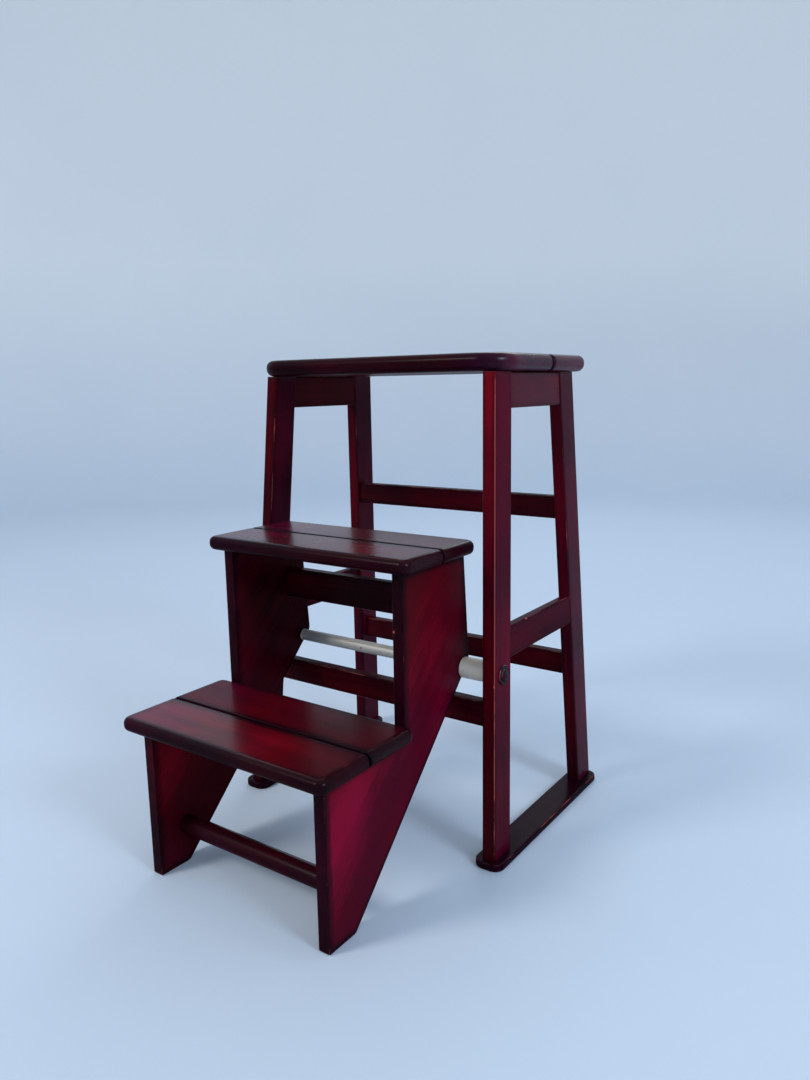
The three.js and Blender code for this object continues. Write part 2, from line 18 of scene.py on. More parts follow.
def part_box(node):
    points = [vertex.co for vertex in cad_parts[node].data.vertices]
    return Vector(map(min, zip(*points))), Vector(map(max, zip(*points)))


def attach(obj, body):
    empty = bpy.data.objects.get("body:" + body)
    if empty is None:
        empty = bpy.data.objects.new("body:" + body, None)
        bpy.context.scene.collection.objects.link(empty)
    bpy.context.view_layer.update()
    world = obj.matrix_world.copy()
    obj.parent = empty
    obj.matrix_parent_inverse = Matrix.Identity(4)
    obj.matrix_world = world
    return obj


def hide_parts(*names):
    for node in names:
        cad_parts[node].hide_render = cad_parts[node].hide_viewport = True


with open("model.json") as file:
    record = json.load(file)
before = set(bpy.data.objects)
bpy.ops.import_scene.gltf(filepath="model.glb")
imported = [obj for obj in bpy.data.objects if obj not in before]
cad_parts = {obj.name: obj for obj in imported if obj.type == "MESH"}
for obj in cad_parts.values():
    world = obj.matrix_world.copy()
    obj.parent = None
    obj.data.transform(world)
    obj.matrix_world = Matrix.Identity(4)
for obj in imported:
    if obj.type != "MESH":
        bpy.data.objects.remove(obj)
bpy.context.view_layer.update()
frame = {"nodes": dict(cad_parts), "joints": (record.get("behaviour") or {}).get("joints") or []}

# %% [markdown]
# The camera stands where the photographer stood: a little in front of the right front leg, just
# below the height of the seat. Its place could be found by eye, but straight edges give it more
# exactly: the frame's edges were matched to the picture, which gave the heading, the tilt, the
# slight roll and the focal length in pixels.

# %% Camera
PHOTO_HEIGHT = 1080
FOCAL_PIXELS = 841.9
SENSOR = 36.0
EYE = Vector((0.6697, -0.8629, 0.5928))
HEADING = math.radians(35.0)
TILT = math.radians(-10.4)
ROLL = math.radians(-0.9)


def placed(name, data):
    """A new object, linked into the scene."""
    thing = bpy.data.objects.new(name, data)
    bpy.context.scene.collection.objects.link(thing)
    return thing


def photo_camera():
    flat = math.cos(TILT)
    ahead = Vector((-math.sin(HEADING) * flat, math.cos(HEADING) * flat, math.sin(TILT)))
    level = Vector((math.cos(HEADING), math.sin(HEADING), 0))
    upright = level.cross(ahead)
    right = level * math.cos(ROLL) + upright * math.sin(ROLL)
    up = upright * math.cos(ROLL) - level * math.sin(ROLL)
    lens = bpy.data.cameras.new("photo_camera")
    lens.sensor_width = SENSOR
    lens.lens = FOCAL_PIXELS / PHOTO_HEIGHT * SENSOR
    camera = placed("photo_camera", lens)
    turn = Matrix((right, up, -ahead)).transposed().to_4x4()
    camera.matrix_world = Matrix.Translation(EYE) @ turn
    bpy.context.scene.camera = camera
    return camera


print("lens:", round(photo_camera().data.lens, 2), "mm")

# %% [markdown]
# A material is a recipe of nodes, and so is a rule that makes a shape. The nodes could be placed
# by hand in the editor, but a small helper that adds a node and joins its inputs keeps a long
# recipe short to read. This one serves both kinds of recipe.

# %% Colours and node trees
def tint(red, green, blue):
    """A colour as a painter's screen shows it, 0 to 255, in the linear values that nodes use."""
    shown = Color((red / 255, green / 255, blue / 255))
    return (*shown.from_srgb_to_scene_linear(), 1)


class Nodes:
    """A node tree that is being made."""

    def __init__(self, tree):
        self.tree = tree

    def join(self, socket, value):
        if isinstance(value, bpy.types.NodeSocket):
            self.tree.links.new(value, socket)
        else:
            socket.default_value = value

    def add(self, kind, inputs=None, **settings):
        """A new node. An input takes a value, or what comes out of another node."""
        node = self.tree.nodes.new(kind)
        for key, value in settings.items():
            setattr(node, key, value)
        for key, value in (inputs or {}).items():
            self.join(node.inputs[key], value)
        return node

    def reckon(self, operation, *values, clamp=False):
        inputs = dict(enumerate(values))
        return self.add("ShaderNodeMath", inputs, operation=operation, use_clamp=clamp).outputs[0]


print("a middle grey is", round(tint(128, 128, 128)[0], 3), "in the values of a node")

# %% [markdown]
# Materials take the same few steps again and again: read an attribute, stretch a place along the
# grain, draw a noise there, spread its values over a new range, blend two colours. Each could be
# written out where it is used. As methods they let a recipe be read from its first noise to its
# finish.

# %% Steps of a material
class Recipe(Nodes):
    """A material that is being made. Each method returns what comes out of its node."""

    def __init__(self, name):
        self.material = bpy.data.materials.new(name)
        self.material.use_nodes = True
        super().__init__(self.material.node_tree)
        self.shader = self.tree.nodes["Principled BSDF"]

    def read(self, name, output="Fac"):
        return self.add("ShaderNodeAttribute", attribute_name=name).outputs[output]

    def place(self):
        return self.add("ShaderNodeTexCoord").outputs["Object"]

    def part(self, vector, axis):
        return self.add("ShaderNodeSeparateXYZ", {0: vector}).outputs[axis]

    def stretch(self, vector, along, across):
        inputs = {0: vector, 1: (along, across, across)}
        return self.add("ShaderNodeVectorMath", inputs, operation="MULTIPLY").outputs[0]

    def noise(self, vector, scale=1.0, detail=2.0, roughness=0.5):
        inputs = {"Vector": vector, "Scale": scale, "Detail": detail, "Roughness": roughness}
        return self.add("ShaderNodeTexNoise", inputs).outputs["Fac"]

    def spread(self, value, low, high, to_low=0.0, to_high=1.0, smooth=False):
        """The value's stretch from low to high, spread over a new range and held inside it."""
        kind = "SMOOTHSTEP" if smooth else "LINEAR"
        inputs = {0: value, 1: low, 2: high, 3: to_low, 4: to_high}
        return self.add("ShaderNodeMapRange", inputs, interpolation_type=kind).outputs[0]

    def swing(self, value, reach, most):
        """What lies within this reach of a half, spread over the range from -most to most."""
        return self.spread(value, 0.5 - reach, 0.5 + reach, -most, most)

    def weighted(self, *terms):
        """The sum of some values, each times its weight."""
        total = 0.0
        for value, weight in terms:
            total = self.reckon("MULTIPLY_ADD", value, weight, total)
        return total

    def ramp(self, value, places, colours):
        node = self.add("ShaderNodeValToRGB", {0: value})
        points = node.color_ramp.elements
        while len(points) < len(places):
            points.new(0.5)
        for point, place, colour in zip(points, places, colours):
            point.position = place
            point.color = colour
        return node.outputs[0]

    def blend(self, share, first, second):
        node = self.add("ShaderNodeMix", data_type="RGBA")
        for index, value in ((0, share), (6, first), (7, second)):
            self.join(node.inputs[index], value)
        return node.outputs[2]

    def bump(self, height, distance, strength):
        inputs = {"Height": height, "Distance": distance, "Strength": strength}
        return self.add("ShaderNodeBump", inputs).outputs["Normal"]

    def finish(self, **sockets):
        for name, value in sockets.items():
            self.join(self.shader.inputs[name.replace("_", " ")], value)
        return self.material


print("steps of a recipe:", ", ".join(step for step in vars(Recipe) if step[0] != "_"))

# %% [markdown]
# Round things are made as on a lathe: a profile is spun round an axis. Blender's spin does that
# too, but it can leave doubled points at its seam and on the axis. Here each point of the profile
# becomes a ring of points, or one point where the radius is nothing, and faces join the rings.

# %% Lathed shapes
def circle(radius, sides):
    """Points evenly round a circle."""
    angles = [2 * math.pi * k / sides for k in range(sides)]
    return [(radius * math.cos(a), radius * math.sin(a)) for a in angles]


def quarter(steps):
    """The sine and cosine of every step through a quarter turn."""
    angles = [math.pi / 2 * k / steps for k in range(steps + 1)]
    return [(math.sin(a), math.cos(a)) for a in angles]


def lathed(profile, sides, closed=False):
    """A bmesh with a profile of (radius, height) spun round Z. Points on the axis make poles."""
    mesh = bmesh.new()
    rings = []
    for radius, height in profile:
        spots = circle(radius, sides if radius else 1)
        rings.append([mesh.verts.new((x, y, height)) for x, y in spots])
    pairs = list(zip(rings, rings[1:])) + ([(rings[-1], rings[0])] if closed else [])
    for low, high in pairs:
        for k in range(sides):
            corners = [low[k % len(low)], low[(k + 1) % len(low)]]
            corners += [high[(k + 1) % len(high)], high[k % len(high)]]
            mesh.faces.new(dict.fromkeys(corners))
    bmesh.ops.recalc_face_normals(mesh, faces=mesh.faces)
    return mesh


def made(name, mesh, material):
    """Turns a bmesh into a smooth object."""
    data = bpy.data.meshes.new(name)
    mesh.to_mesh(data)
    mesh.free()
    data.shade_smooth()
    data.materials.append(material)
    return placed(name, data)


print("a quarter turn in 3 steps:", [round(sine, 3) for sine, _ in quarter(3)])

# %% [markdown]
# The stage is one pale sheet: a round floor that curves up into a wall on every side, as a
# photographer's paper sweep does, so that the stool has a quiet ground from any angle. A flat
# plane would show a horizon. The sheet is let through from behind, to look at the underside.

# %% Floor and backdrop
FLOOR_RADIUS = 3.4
SWEEP_RADIUS = 1.4
WALL_TOP = 4.6
SWEEP_STEPS = 16
STAGE_SIDES = 96
PAPER_BELOW = tint(192, 207, 225)
PAPER_ABOVE = tint(233, 238, 242)


def paper():
    recipe = Recipe("pale_paper")
    place = recipe.place()
    rise = recipe.spread(recipe.part(place, "Z"), 0, SWEEP_RADIUS)
    cloud = recipe.swing(recipe.noise(place, scale=1.5, detail=3), reach=0.5, most=0.1)
    colour = recipe.blend(recipe.reckon("ADD", rise, cloud), PAPER_BELOW, PAPER_ABOVE)
    recipe.finish(Base_Color=colour, Roughness=0.9)
    back = recipe.add("ShaderNodeNewGeometry").outputs["Backfacing"]
    clear = recipe.add("ShaderNodeBsdfTransparent").outputs[0]
    mixer = recipe.add("ShaderNodeMixShader", {0: back, 1: recipe.shader.outputs[0], 2: clear})
    recipe.join(recipe.tree.nodes["Material Output"].inputs["Surface"], mixer.outputs[0])
    return recipe.material


def sweep():
    curve = [(FLOOR_RADIUS + SWEEP_RADIUS * s, SWEEP_RADIUS * (1 - c)) for s, c in quarter(SWEEP_STEPS)]
    profile = [(0, 0), (FLOOR_RADIUS / 2, 0), *curve, (FLOOR_RADIUS + SWEEP_RADIUS, WALL_TOP)]
    mesh = lathed(profile, STAGE_SIDES)
    if sum(face.normal.z for face in mesh.faces) < 0:
        bmesh.ops.reverse_faces(mesh, faces=mesh.faces)
    stage = made("stage_sweep", mesh, paper())
    return stage


print("stage:", len(sweep().data.polygons), "faces")

# %% [markdown]
# The stool was photographed in open shade, so no lamp shows in its lacquer as a hard spot. Large
# soft lamps do the same here: a warmer one from the front left that lights the fronts of the
# legs, a cooler one from the right that lays a pale sheen on their sides, and one from above and
# behind.

# %% Lights
# Each lamp has its name, its place, its width, its power in watts and its colour.
LAMPS = [
    ("front_lamp", (-1.5, -2.7, 2.5), 1.0, 58, (1.0, 0.95, 0.87)),
    ("side_lamp", (3.0, -0.7, 1.9), 1.0, 46, (0.72, 0.85, 1.0)),
    ("back_lamp", (-0.6, 2.6, 2.9), 2.0, 26, (0.92, 0.96, 1.0)),
]
AIM = Vector((0, 0, 0.3))
ROOM_COLOUR = tint(226, 232, 240)
ROOM_STRENGTH = 0.75


def lamp(name, place, width, power, colour):
    light = bpy.data.lights.new(name, "AREA")
    light.shape = "DISK"
    light.size = width
    light.energy = power
    light.color = colour
    holder = placed(name, light)
    holder.location = place
    holder.rotation_euler = (AIM - Vector(place)).to_track_quat("-Z", "Y").to_euler()
    holder.visible_camera = False


def pale_room():
    world = bpy.data.worlds.new("pale_room")
    world.use_nodes = True
    light = world.node_tree.nodes["Background"].inputs
    light["Color"].default_value = ROOM_COLOUR
    light["Strength"].default_value = ROOM_STRENGTH
    bpy.context.scene.world = world


for details in LAMPS:
    lamp(*details)
pale_room()
bpy.context.scene.view_settings.view_transform = "Standard"
print("lamps:", len(LAMPS), "with", sum(power for _, _, _, power, _ in LAMPS), "watts in all")

# %% [markdown]
# The stained wood carries the whole look. On the real stool a maker sprayed a red-brown stain and
# then a half-gloss lacquer: the middle of each face is crimson, the rims are nearly black, fine
# pores run along the grain, and use has rubbed the sharp arrises to a paler line.
# A wood picture could be wrapped on, but it would not know where the edges of a piece are. So each piece
# carries attributes that the recipe reads at every point: "grain", the place along and across the wood,
# "tone", how bright the stain came out, with painted shade and painted sheen in places, "cool", how far
# its red leans to violet, in part as painted bluish light, "arris", how sharply the surface turns, the
# wear attribute, how much is rubbed off there together with the highlights painted on some arrises, and
# "polish", how much lacquer lies on it.

# %% Stained wood
NEARLY_BLACK = tint(14, 2, 8)
STAIN_DEPTHS = (0.0, 0.3, 0.7, 1.0)
RED_STAIN = (NEARLY_BLACK, tint(40, 4, 12), tint(82, 4, 14), tint(128, 8, 24))
# The violet end is also where painted bluish light and sheen take the red.
COOL_STAIN_AND_PAINTED_LIGHT = (NEARLY_BLACK, tint(36, 3, 24), tint(82, 3, 38), tint(128, 6, 56))
# Painted highlight and wear: the paler line of rubbed arrises, which also paints the highlights on some
# of them.
RUBBED_AND_HIGHLIGHT = tint(184, 90, 86)
BARE_CHIP = tint(184, 88, 80)
# How finely each noise is drawn, along the grain and across it.
WANDER = (4, 14)
BAND = (2.2, 46)
STREAK = (9, 260)
FIBRE = (26, 1100)
PORE = (95, 2300)
PATCH = (22, 60)
# The wood's own roughness, from its smoothest to its roughest, and its little shine without lacquer.
WOOD_ROUGHNESS = (0.30, 0.42)
WOOD_SHINE = 0.012
# The lacquer's weight, from rubbed off to full, and its roughness.
LACQUER_WEIGHT = (0.03, 0.7)
LACQUER_ROUGHNESS = 0.22


def stain_figure(recipe, grain, tone):
    """The stain's depth from 0 to 1, with the noises that the gloss and the bump use again."""
    drift = recipe.swing(recipe.noise(recipe.stretch(grain, *WANDER)), reach=0.5, most=0.006)
    lean = recipe.add("ShaderNodeCombineXYZ", {"Y": drift, "Z": drift}).outputs[0]
    along = recipe.add("ShaderNodeVectorMath", {0: grain, 1: lean}, operation="ADD").outputs[0]
    band = recipe.noise(recipe.stretch(along, *BAND), detail=3)
    streak = recipe.noise(recipe.stretch(along, *STREAK), detail=4, roughness=0.6)
    fibre = recipe.noise(recipe.stretch(along, *FIBRE), detail=3, roughness=0.6)
    pore = recipe.noise(recipe.stretch(along, *PORE))
    cloud = recipe.noise(grain, scale=8, detail=3)
    figure = recipe.weighted((band, 0.42), (streak, 0.34), (fibre, 0.24))
    depth = recipe.reckon("ADD", tone, recipe.swing(figure, reach=0.16, most=0.13))
    depth = recipe.reckon("ADD", depth, recipe.swing(cloud, reach=0.22, most=0.15), clamp=True)
    return depth, streak, recipe.spread(pore, 0.66, 0.74)


def arris_wear_and_highlights(recipe, grain, arris, wear):
    """Where the stain is rubbed thin along an arris, together with the highlights painted there, and
    where a chip of it is gone.
    """
    more = recipe.swing(wear, reach=0.5, most=0.2)
    patches = recipe.noise(recipe.stretch(grain, *PATCH), detail=4, roughness=0.65)
    patches = recipe.spread(recipe.reckon("ADD", patches, more), 0.46, 0.62)
    rub_and_highlight = recipe.reckon("MULTIPLY", recipe.spread(arris, 0.72, 0.97), patches)
    chips = recipe.noise(grain, scale=70, detail=3)
    chips = recipe.spread(recipe.weighted((chips, 1), (more, 0.3)), 0.71, 0.74)
    return rub_and_highlight, recipe.reckon("MULTIPLY", recipe.spread(arris, 0.3, 0.7), chips)


def stained_wood():
    recipe = Recipe("stained_wood")
    grain = recipe.read("grain", "Vector")
    depth, streak, pore = stain_figure(recipe, grain, recipe.read("tone"))
    rub_and_highlight, chip = arris_wear_and_highlights(recipe, grain, recipe.read("arris"), recipe.read("wear"))
    drift = recipe.swing(recipe.noise(grain, scale=6), reach=0.15, most=0.12)
    cool = recipe.reckon("ADD", recipe.read("cool"), drift, clamp=True)
    red = recipe.ramp(depth, STAIN_DEPTHS, RED_STAIN)
    colour = recipe.blend(cool, red, recipe.ramp(depth, STAIN_DEPTHS, COOL_STAIN_AND_PAINTED_LIGHT))
    colour = recipe.blend(recipe.reckon("MULTIPLY", pore, 0.5), colour, NEARLY_BLACK)
    # Rubbed arrises, with painted highlights on some of them.
    colour = recipe.blend(recipe.reckon("MULTIPLY", rub_and_highlight, 0.7), colour, RUBBED_AND_HIGHLIGHT)
    colour = recipe.blend(chip, colour, BARE_CHIP)

    smudge = recipe.noise(grain, scale=17, detail=4, roughness=0.6)
    rough = recipe.spread(smudge, 0.3, 0.7, *WOOD_ROUGHNESS)
    relief = recipe.weighted((streak, 0.35), (pore, -0.4), (smudge, 0.25), (chip, -2.0))
    recipe.finish(
        Base_Color=colour,
        Roughness=recipe.weighted((rough, 1), (rub_and_highlight, 0.12), (chip, 0.3)),
        Normal=recipe.bump(relief, distance=0.0002, strength=0.5),
        Specular_IOR_Level=WOOD_SHINE,
        Coat_Weight=recipe.spread(recipe.read("polish"), 0, 1, *LACQUER_WEIGHT),
        Coat_Roughness=LACQUER_ROUGHNESS,
    )
    return recipe.material


STAINED = stained_wood()
print("stained wood:", len(STAINED.node_tree.nodes), "nodes")

# %% [markdown]
# The tube is drawn aluminium, left bare. Drawing leaves faint lines along it, and a bright ring beside
# each panel is a painted highlight. The spacers are the same metal with a fine matt skin.
# The screws are steel with a zinc skin, and the hidden dowels are bare beech. Each could be one
# flat grey or tan, but the metals share one recipe of lines, clouds and specks, at other sizes.

# %% Metals and bare wood
LINES_ACROSS = 1900
RING_WIDTH = 0.004
SPECK = tint(84, 76, 68)
PAINTED_RING_HIGHLIGHT = tint(236, 233, 226)
BEECH_GRAIN = (900, 300)


def drawn_metal(name, dark, light, lines_along, roughness, metallic, highlight_rings_at=None):
    """Metal with fine lines along X, cloudy handling marks and a few dark specks.

    The rings' place is how far from the middle, to both sides, a bright ring is painted on as a
    highlight.
    """
    recipe = Recipe(name)
    place = recipe.place()
    lines = recipe.noise(recipe.stretch(place, lines_along, LINES_ACROSS), detail=3, roughness=0.6)
    cloud = recipe.noise(place, scale=28, detail=4, roughness=0.6)
    speck = recipe.spread(recipe.noise(place, scale=420), 0.7, 0.76)
    mark = recipe.weighted((lines, 0.45), (cloud, 0.55))
    colour = recipe.blend(recipe.spread(mark, 0.32, 0.68), dark, light)
    colour = recipe.blend(recipe.reckon("MULTIPLY", speck, 0.5), colour, SPECK)
    # A painted highlight: a bright ring on the tube beside each panel.
    if highlight_rings_at:
        from_middle = recipe.reckon("ABSOLUTE", recipe.part(place, "X"))
        off_ring = recipe.reckon("ABSOLUTE", recipe.reckon("SUBTRACT", from_middle, highlight_rings_at))
        ring_highlight = recipe.spread(off_ring, RING_WIDTH, RING_WIDTH / 2, smooth=True)
        colour = recipe.blend(ring_highlight, colour, PAINTED_RING_HIGHLIGHT)
    rough = recipe.spread(mark, 0.3, 0.7, roughness - 0.07, roughness + 0.09)
    recipe.finish(
        Base_Color=colour,
        Metallic=metallic,
        Roughness=recipe.weighted((rough, 1), (speck, 0.25)),
        Normal=recipe.bump(lines, distance=0.00006, strength=0.4),
    )
    return recipe.material


def bare_beech():
    recipe = Recipe("bare_beech")
    fleck = recipe.noise(recipe.stretch(recipe.place(), *BEECH_GRAIN), scale=0.6, detail=4)
    colour = recipe.blend(recipe.spread(fleck, 0.35, 0.65), tint(188, 146, 98), tint(214, 176, 128))
    recipe.finish(
        Base_Color=colour,
        Roughness=recipe.spread(fleck, 0.3, 0.7, 0.62, 0.78),
        Normal=recipe.bump(fleck, distance=0.0001, strength=0.4),
    )
    return recipe.material


DRAWN_TUBE = drawn_metal(
    "drawn_aluminium", dark=tint(166, 164, 160), light=tint(206, 204, 200), lines_along=16,
    roughness=0.48, metallic=0.3, highlight_rings_at=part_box("step_panel_right")[0].x)
SPACER_SKIN = drawn_metal(
    "matt_aluminium", dark=tint(240, 231, 212), light=tint(253, 246, 228), lines_along=500,
    roughness=0.5, metallic=0.1)
ZINC = drawn_metal(
    "zinc_steel", dark=tint(140, 144, 148), light=tint(188, 190, 190), lines_along=300,
    roughness=0.34, metallic=1.0)
BEECH = bare_beech()
print("materials:", [material.name for material in (DRAWN_TUBE, SPACER_SKIN, ZINC, BEECH)])

# %% [markdown]
# The stain is darker at the rims of a piece and rubbed off on its arrises. That could be painted
# by hand on each piece, but it is measured here instead: the direction in which a point faces
# tells whether it lies on a rim or an arris, and each kind of piece has its own rule for it.

# %% Rims and arrises
ARRIS_START = 0.35
FLAT_START = 0.97
LINE_ANGLE = math.radians(15)
LINE_SPREAD = math.radians(9)
# For a piece that runs along an axis, that axis and then the two across it.
ALONG = {"X": (0, 1, 2), "Y": (1, 0, 2), "Z": (2, 0, 1)}


def bar_faces(axis):
    """A bar's arrises lie where it faces between the two directions of its section."""
    _, first, second = ALONG[axis]

    def faces(normal):
        arris = 2 * np.abs(normal[:, first] * normal[:, second])
        return arris > ARRIS_START, arris
    return faces


def board_faces(axis):
    """A board's rim is all that faces away from its two flat sides."""
    face = ALONG[axis][0]

    def faces(normal):
        up = np.abs(normal[:, face])
        return up < FLAT_START, 2 * up * np.sqrt(np.clip(1 - up * up, 0, 1))
    return faces


def nosed_faces(normal):
    """A round nose gets a paler line where it leaves the flat top, part rubbed and part painted
    highlight.
    """
    up = np.clip(np.abs(normal[:, 2]), 0, 1)
    line = np.exp(-((np.arccos(up) - LINE_ANGLE) / LINE_SPREAD) ** 2)
    return up < FLAT_START, line


def round_faces(normal):
    """A dowel has no arris and no rim."""
    return np.zeros(len(normal), bool), np.zeros(len(normal))


print("a rim starts", round(math.degrees(math.acos(FLAT_START)), 1), "degrees from flat")

# %% [markdown]
# The rules give numbers for every point of a mesh. Numpy reads and writes them all at once, which
# is far quicker than a loop over the points. How far a point lies from the nearest rim is the one
# thing that takes a search, and a tree of the rim's points makes that short.

# %% Values on the points of a mesh
def evaluated_mesh(thing):
    """The mesh of an object with its modifiers carried out."""
    graph = bpy.context.evaluated_depsgraph_get()
    return bpy.data.meshes.new_from_object(thing.evaluated_get(graph), depsgraph=graph)


def read_vectors(items, key):
    values = np.empty(len(items) * 3, np.float32)
    items.foreach_get(key, values)
    return values.reshape(-1, 3)


def write_attribute(data, name, kind, key, values):
    data.attributes.new(name, kind, "POINT").data.foreach_set(key, values.astype(np.float32).ravel())


def distance_to(places, marked):
    """How far each point is from the nearest marked one."""
    if not marked.any():
        return np.ones(len(places))
    tree = kdtree.KDTree(len(places))
    for index in np.flatnonzero(marked):
        tree.insert(places[index], index)
    tree.balance()
    return np.array([tree.find(place)[2] for place in places])


def soft(share, least=0.0, most=1.0):
    """From least to most as a share goes from 0 to 1, with a soft start and end."""
    share = np.clip(share, 0, 1)
    return least + (most - least) * share * share * (3 - 2 * share)


def value_at(value, places):
    """A value at every place. It is one number for all, or a function of the places."""
    return value(places) if callable(value) else np.full(len(places), float(value))


print("a soft share is", float(soft(0.25)), "a quarter of the way")

# %% [markdown]
# Every wooden piece goes through the same last step. Its mesh gets the attributes of the stain, is
# bent to its lean, and is shaded so that flat faces stay flat and only the arrises turn. The look
# of a piece could be a material of its own, but one material that reads numbers is quicker to
# keep in step: a look is a short list of them.

# %% Dressing a wooden piece
SHARP_ANGLE = math.radians(42)
LACQUER_ON_SLOPES = 0.25
TOP_STARTS = 0.8
TOP_FULL = 0.98
# Each piece is cut from another place in the wood, so its grain is moved on by this.
GRAIN_STEP = np.array((0.371, 0.083, 0.157))
# For wood that runs along an axis, the directions along the wood and across it, as rows.
GRAIN = {axis: np.eye(3)[list(order)] for axis, order in ALONG.items()}
pieces_made = []

# Tone is how bright the stain is, dark its share at the rims and rim their width. Wear is how much the
# arrises are rubbed, together with the highlights painted on some of them, cool how far the red leans to
# violet, in part as painted bluish light, shine how much lacquer is left on what faces up and side how
# much on what faces sideways. Cloud is the share of tone and lacquer that a place keeps, which holds
# painted shade in some places and painted sheen in others, and painted violet how much further the red
# leans there, as painted bluish light and sheen. The last two, and wear, may be functions of the places.
Look = collections.namedtuple(
    "Look", "tone dark rim wear cool shine side cloud violet", defaults=(0.05, 1.0, 0.0, 1.0, 0.0))


def lacquer(normal):
    """Most lacquer stays on what faces up, little on noses, and none to speak of on the sides."""
    up = np.clip(normal[:, 2], 0, 1)
    top = soft((up - TOP_STARTS) / (TOP_FULL - TOP_STARTS))
    return LACQUER_ON_SLOPES * up + (1 - LACQUER_ON_SLOPES) * top


def dressed(name, mesh, body, node, grain, faces, look, lean=None):
    """Makes a stained wooden piece from a bmesh, in place of its CAD node.

    Grain holds the directions along the wood and across it, faces is the rule for its rims and
    arrises, and lean moves its points once they have their attributes.
    """
    bmesh.ops.recalc_face_normals(mesh, faces=mesh.faces)
    piece = made(name, mesh, STAINED)
    data = piece.data
    places = read_vectors(data.vertices, "co")
    normal = read_vectors(data.vertex_normals, "vector")
    rim, arris = faces(normal)
    cloud = value_at(look.cloud, places)
    values = {
        # Tone and cool also carry the painted shade, sheen and bluish light of a look's cloud and
        # painted violet.
        "arris": arris,
        "tone": look.tone * soft(distance_to(places, rim) / look.rim, look.dark) * cloud,
        "cool": look.cool + value_at(look.violet, places),
        "wear": value_at(look.wear, places),
        "polish": (look.shine * lacquer(normal) + look.side * np.abs(normal[:, 0])) * cloud,
    }
    for key, value in values.items():
        write_attribute(data, key, "FLOAT", "value", value)
    along = places @ grain.T + GRAIN_STEP * (len(pieces_made) + 1)
    write_attribute(data, "grain", "FLOAT_VECTOR", "vector", along)
    if lean is not None:
        data.vertices.foreach_set("co", lean(places).astype(np.float32).ravel())
    data.set_sharp_from_angle(angle=SHARP_ANGLE)
    modifier = piece.modifiers.new("flat_faces", "WEIGHTED_NORMAL")
    modifier.keep_sharp = True
    modifier.weight = 100
    piece.data = evaluated_mesh(piece)
    piece.modifiers.clear()
    bpy.data.meshes.remove(data)
    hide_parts(node)
    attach(piece, body)
    pieces_made.append(name)
    return piece


print("a look has:", ", ".join(Look._fields))

# %% [markdown]
# Straight pieces are prisms: an outline with arcs at its corners, pushed from one end to the
# other. A bevelled box would come close, but an outline can have any corners, each with its own
# radius.

# %% Prisms
LAY = {
    "X": lambda a, b, c: (c, a, b),
    "Y": lambda a, b, c: (a, c, b),
    "Z": lambda a, b, c: (a, b, c),
}
ARC_STEPS = 4


def arc_outline(corners, steps=ARC_STEPS):
    """Points of a closed outline through (a, b, radius) corners, each rounded by an arc."""
    points = []
    for index, (a, b, radius) in enumerate(corners):
        corner = Vector((a, b))
        to_before = (Vector(corners[index - 1][:2]) - corner).normalized()
        to_after = (Vector(corners[(index + 1) % len(corners)][:2]) - corner).normalized()
        half = to_before.angle(to_after) / 2
        centre = corner + (to_before + to_after).normalized() * (radius / math.sin(half))
        start = corner + to_before * (radius / math.tan(half)) - centre
        end = corner + to_after * (radius / math.tan(half)) - centre
        turn = math.atan2(start.cross(end), start.dot(end))
        for step in range(steps + 1):
            points.append(centre + Matrix.Rotation(turn * step / steps, 2) @ start)
    return points


def block(a0, a1, b0, b1, radius):
    return [(a0, b0, radius), (a1, b0, radius), (a1, b1, radius), (a0, b1, radius)]


def prism(outline, low, high, axis):
    lay = LAY[axis]
    mesh = bmesh.new()
    ends = [[mesh.verts.new(lay(a, b, c)) for a, b in outline] for c in (low, high)]
    for end in ends:
        mesh.faces.new(end)
    for index in range(len(outline)):
        mesh.faces.new((ends[0][index - 1], ends[0][index], ends[1][index], ends[1][index - 1]))
    bmesh.ops.recalc_face_normals(mesh, faces=mesh.faces)
    return mesh


def shifted(mesh, way):
    bmesh.ops.translate(mesh, verts=mesh.verts, vec=way)
    return mesh


print("an eased block has", len(arc_outline(block(0, 1, 0, 1, 0.1))), "points round it")

# %% [markdown]
# A prism is sliced across into short lengths. The slices change nothing in the shape, but they
# give the attributes points to live on. A subdivision would do that too, and would soften the
# ends. Holes are drilled by booleans with the exact solver, because the fast one can leave gaps
# where faces touch.

# %% Slices and drilled holes
SLICE = 0.011
ON_PLANE = 1e-6


def cut_across(mesh, axis, place, **sides):
    """Cuts all faces by a plane across an axis."""
    normal = Vector(LAY[axis](0, 0, 1))
    everything = mesh.verts[:] + mesh.edges[:] + mesh.faces[:]
    bmesh.ops.bisect_plane(
        mesh, geom=everything, dist=ON_PLANE, plane_co=normal * place, plane_no=normal, **sides)


def sliced(mesh, axes, step=SLICE):
    """Cuts all faces by even planes across the given axes."""
    for axis in axes:
        places = [vertex.co["XYZ".index(axis)] for vertex in mesh.verts]
        low, high = min(places), max(places)
        count = max(1, round((high - low) / step))
        for cut in range(1, count):
            cut_across(mesh, axis, low + (high - low) * cut / count)
    return mesh


def opened(data):
    """Takes a mesh over into a bmesh, and merges its doubled points."""
    mesh = bmesh.new()
    mesh.from_mesh(data)
    bpy.data.meshes.remove(data)
    bmesh.ops.remove_doubles(mesh, verts=mesh.verts, dist=ON_PLANE)
    return mesh


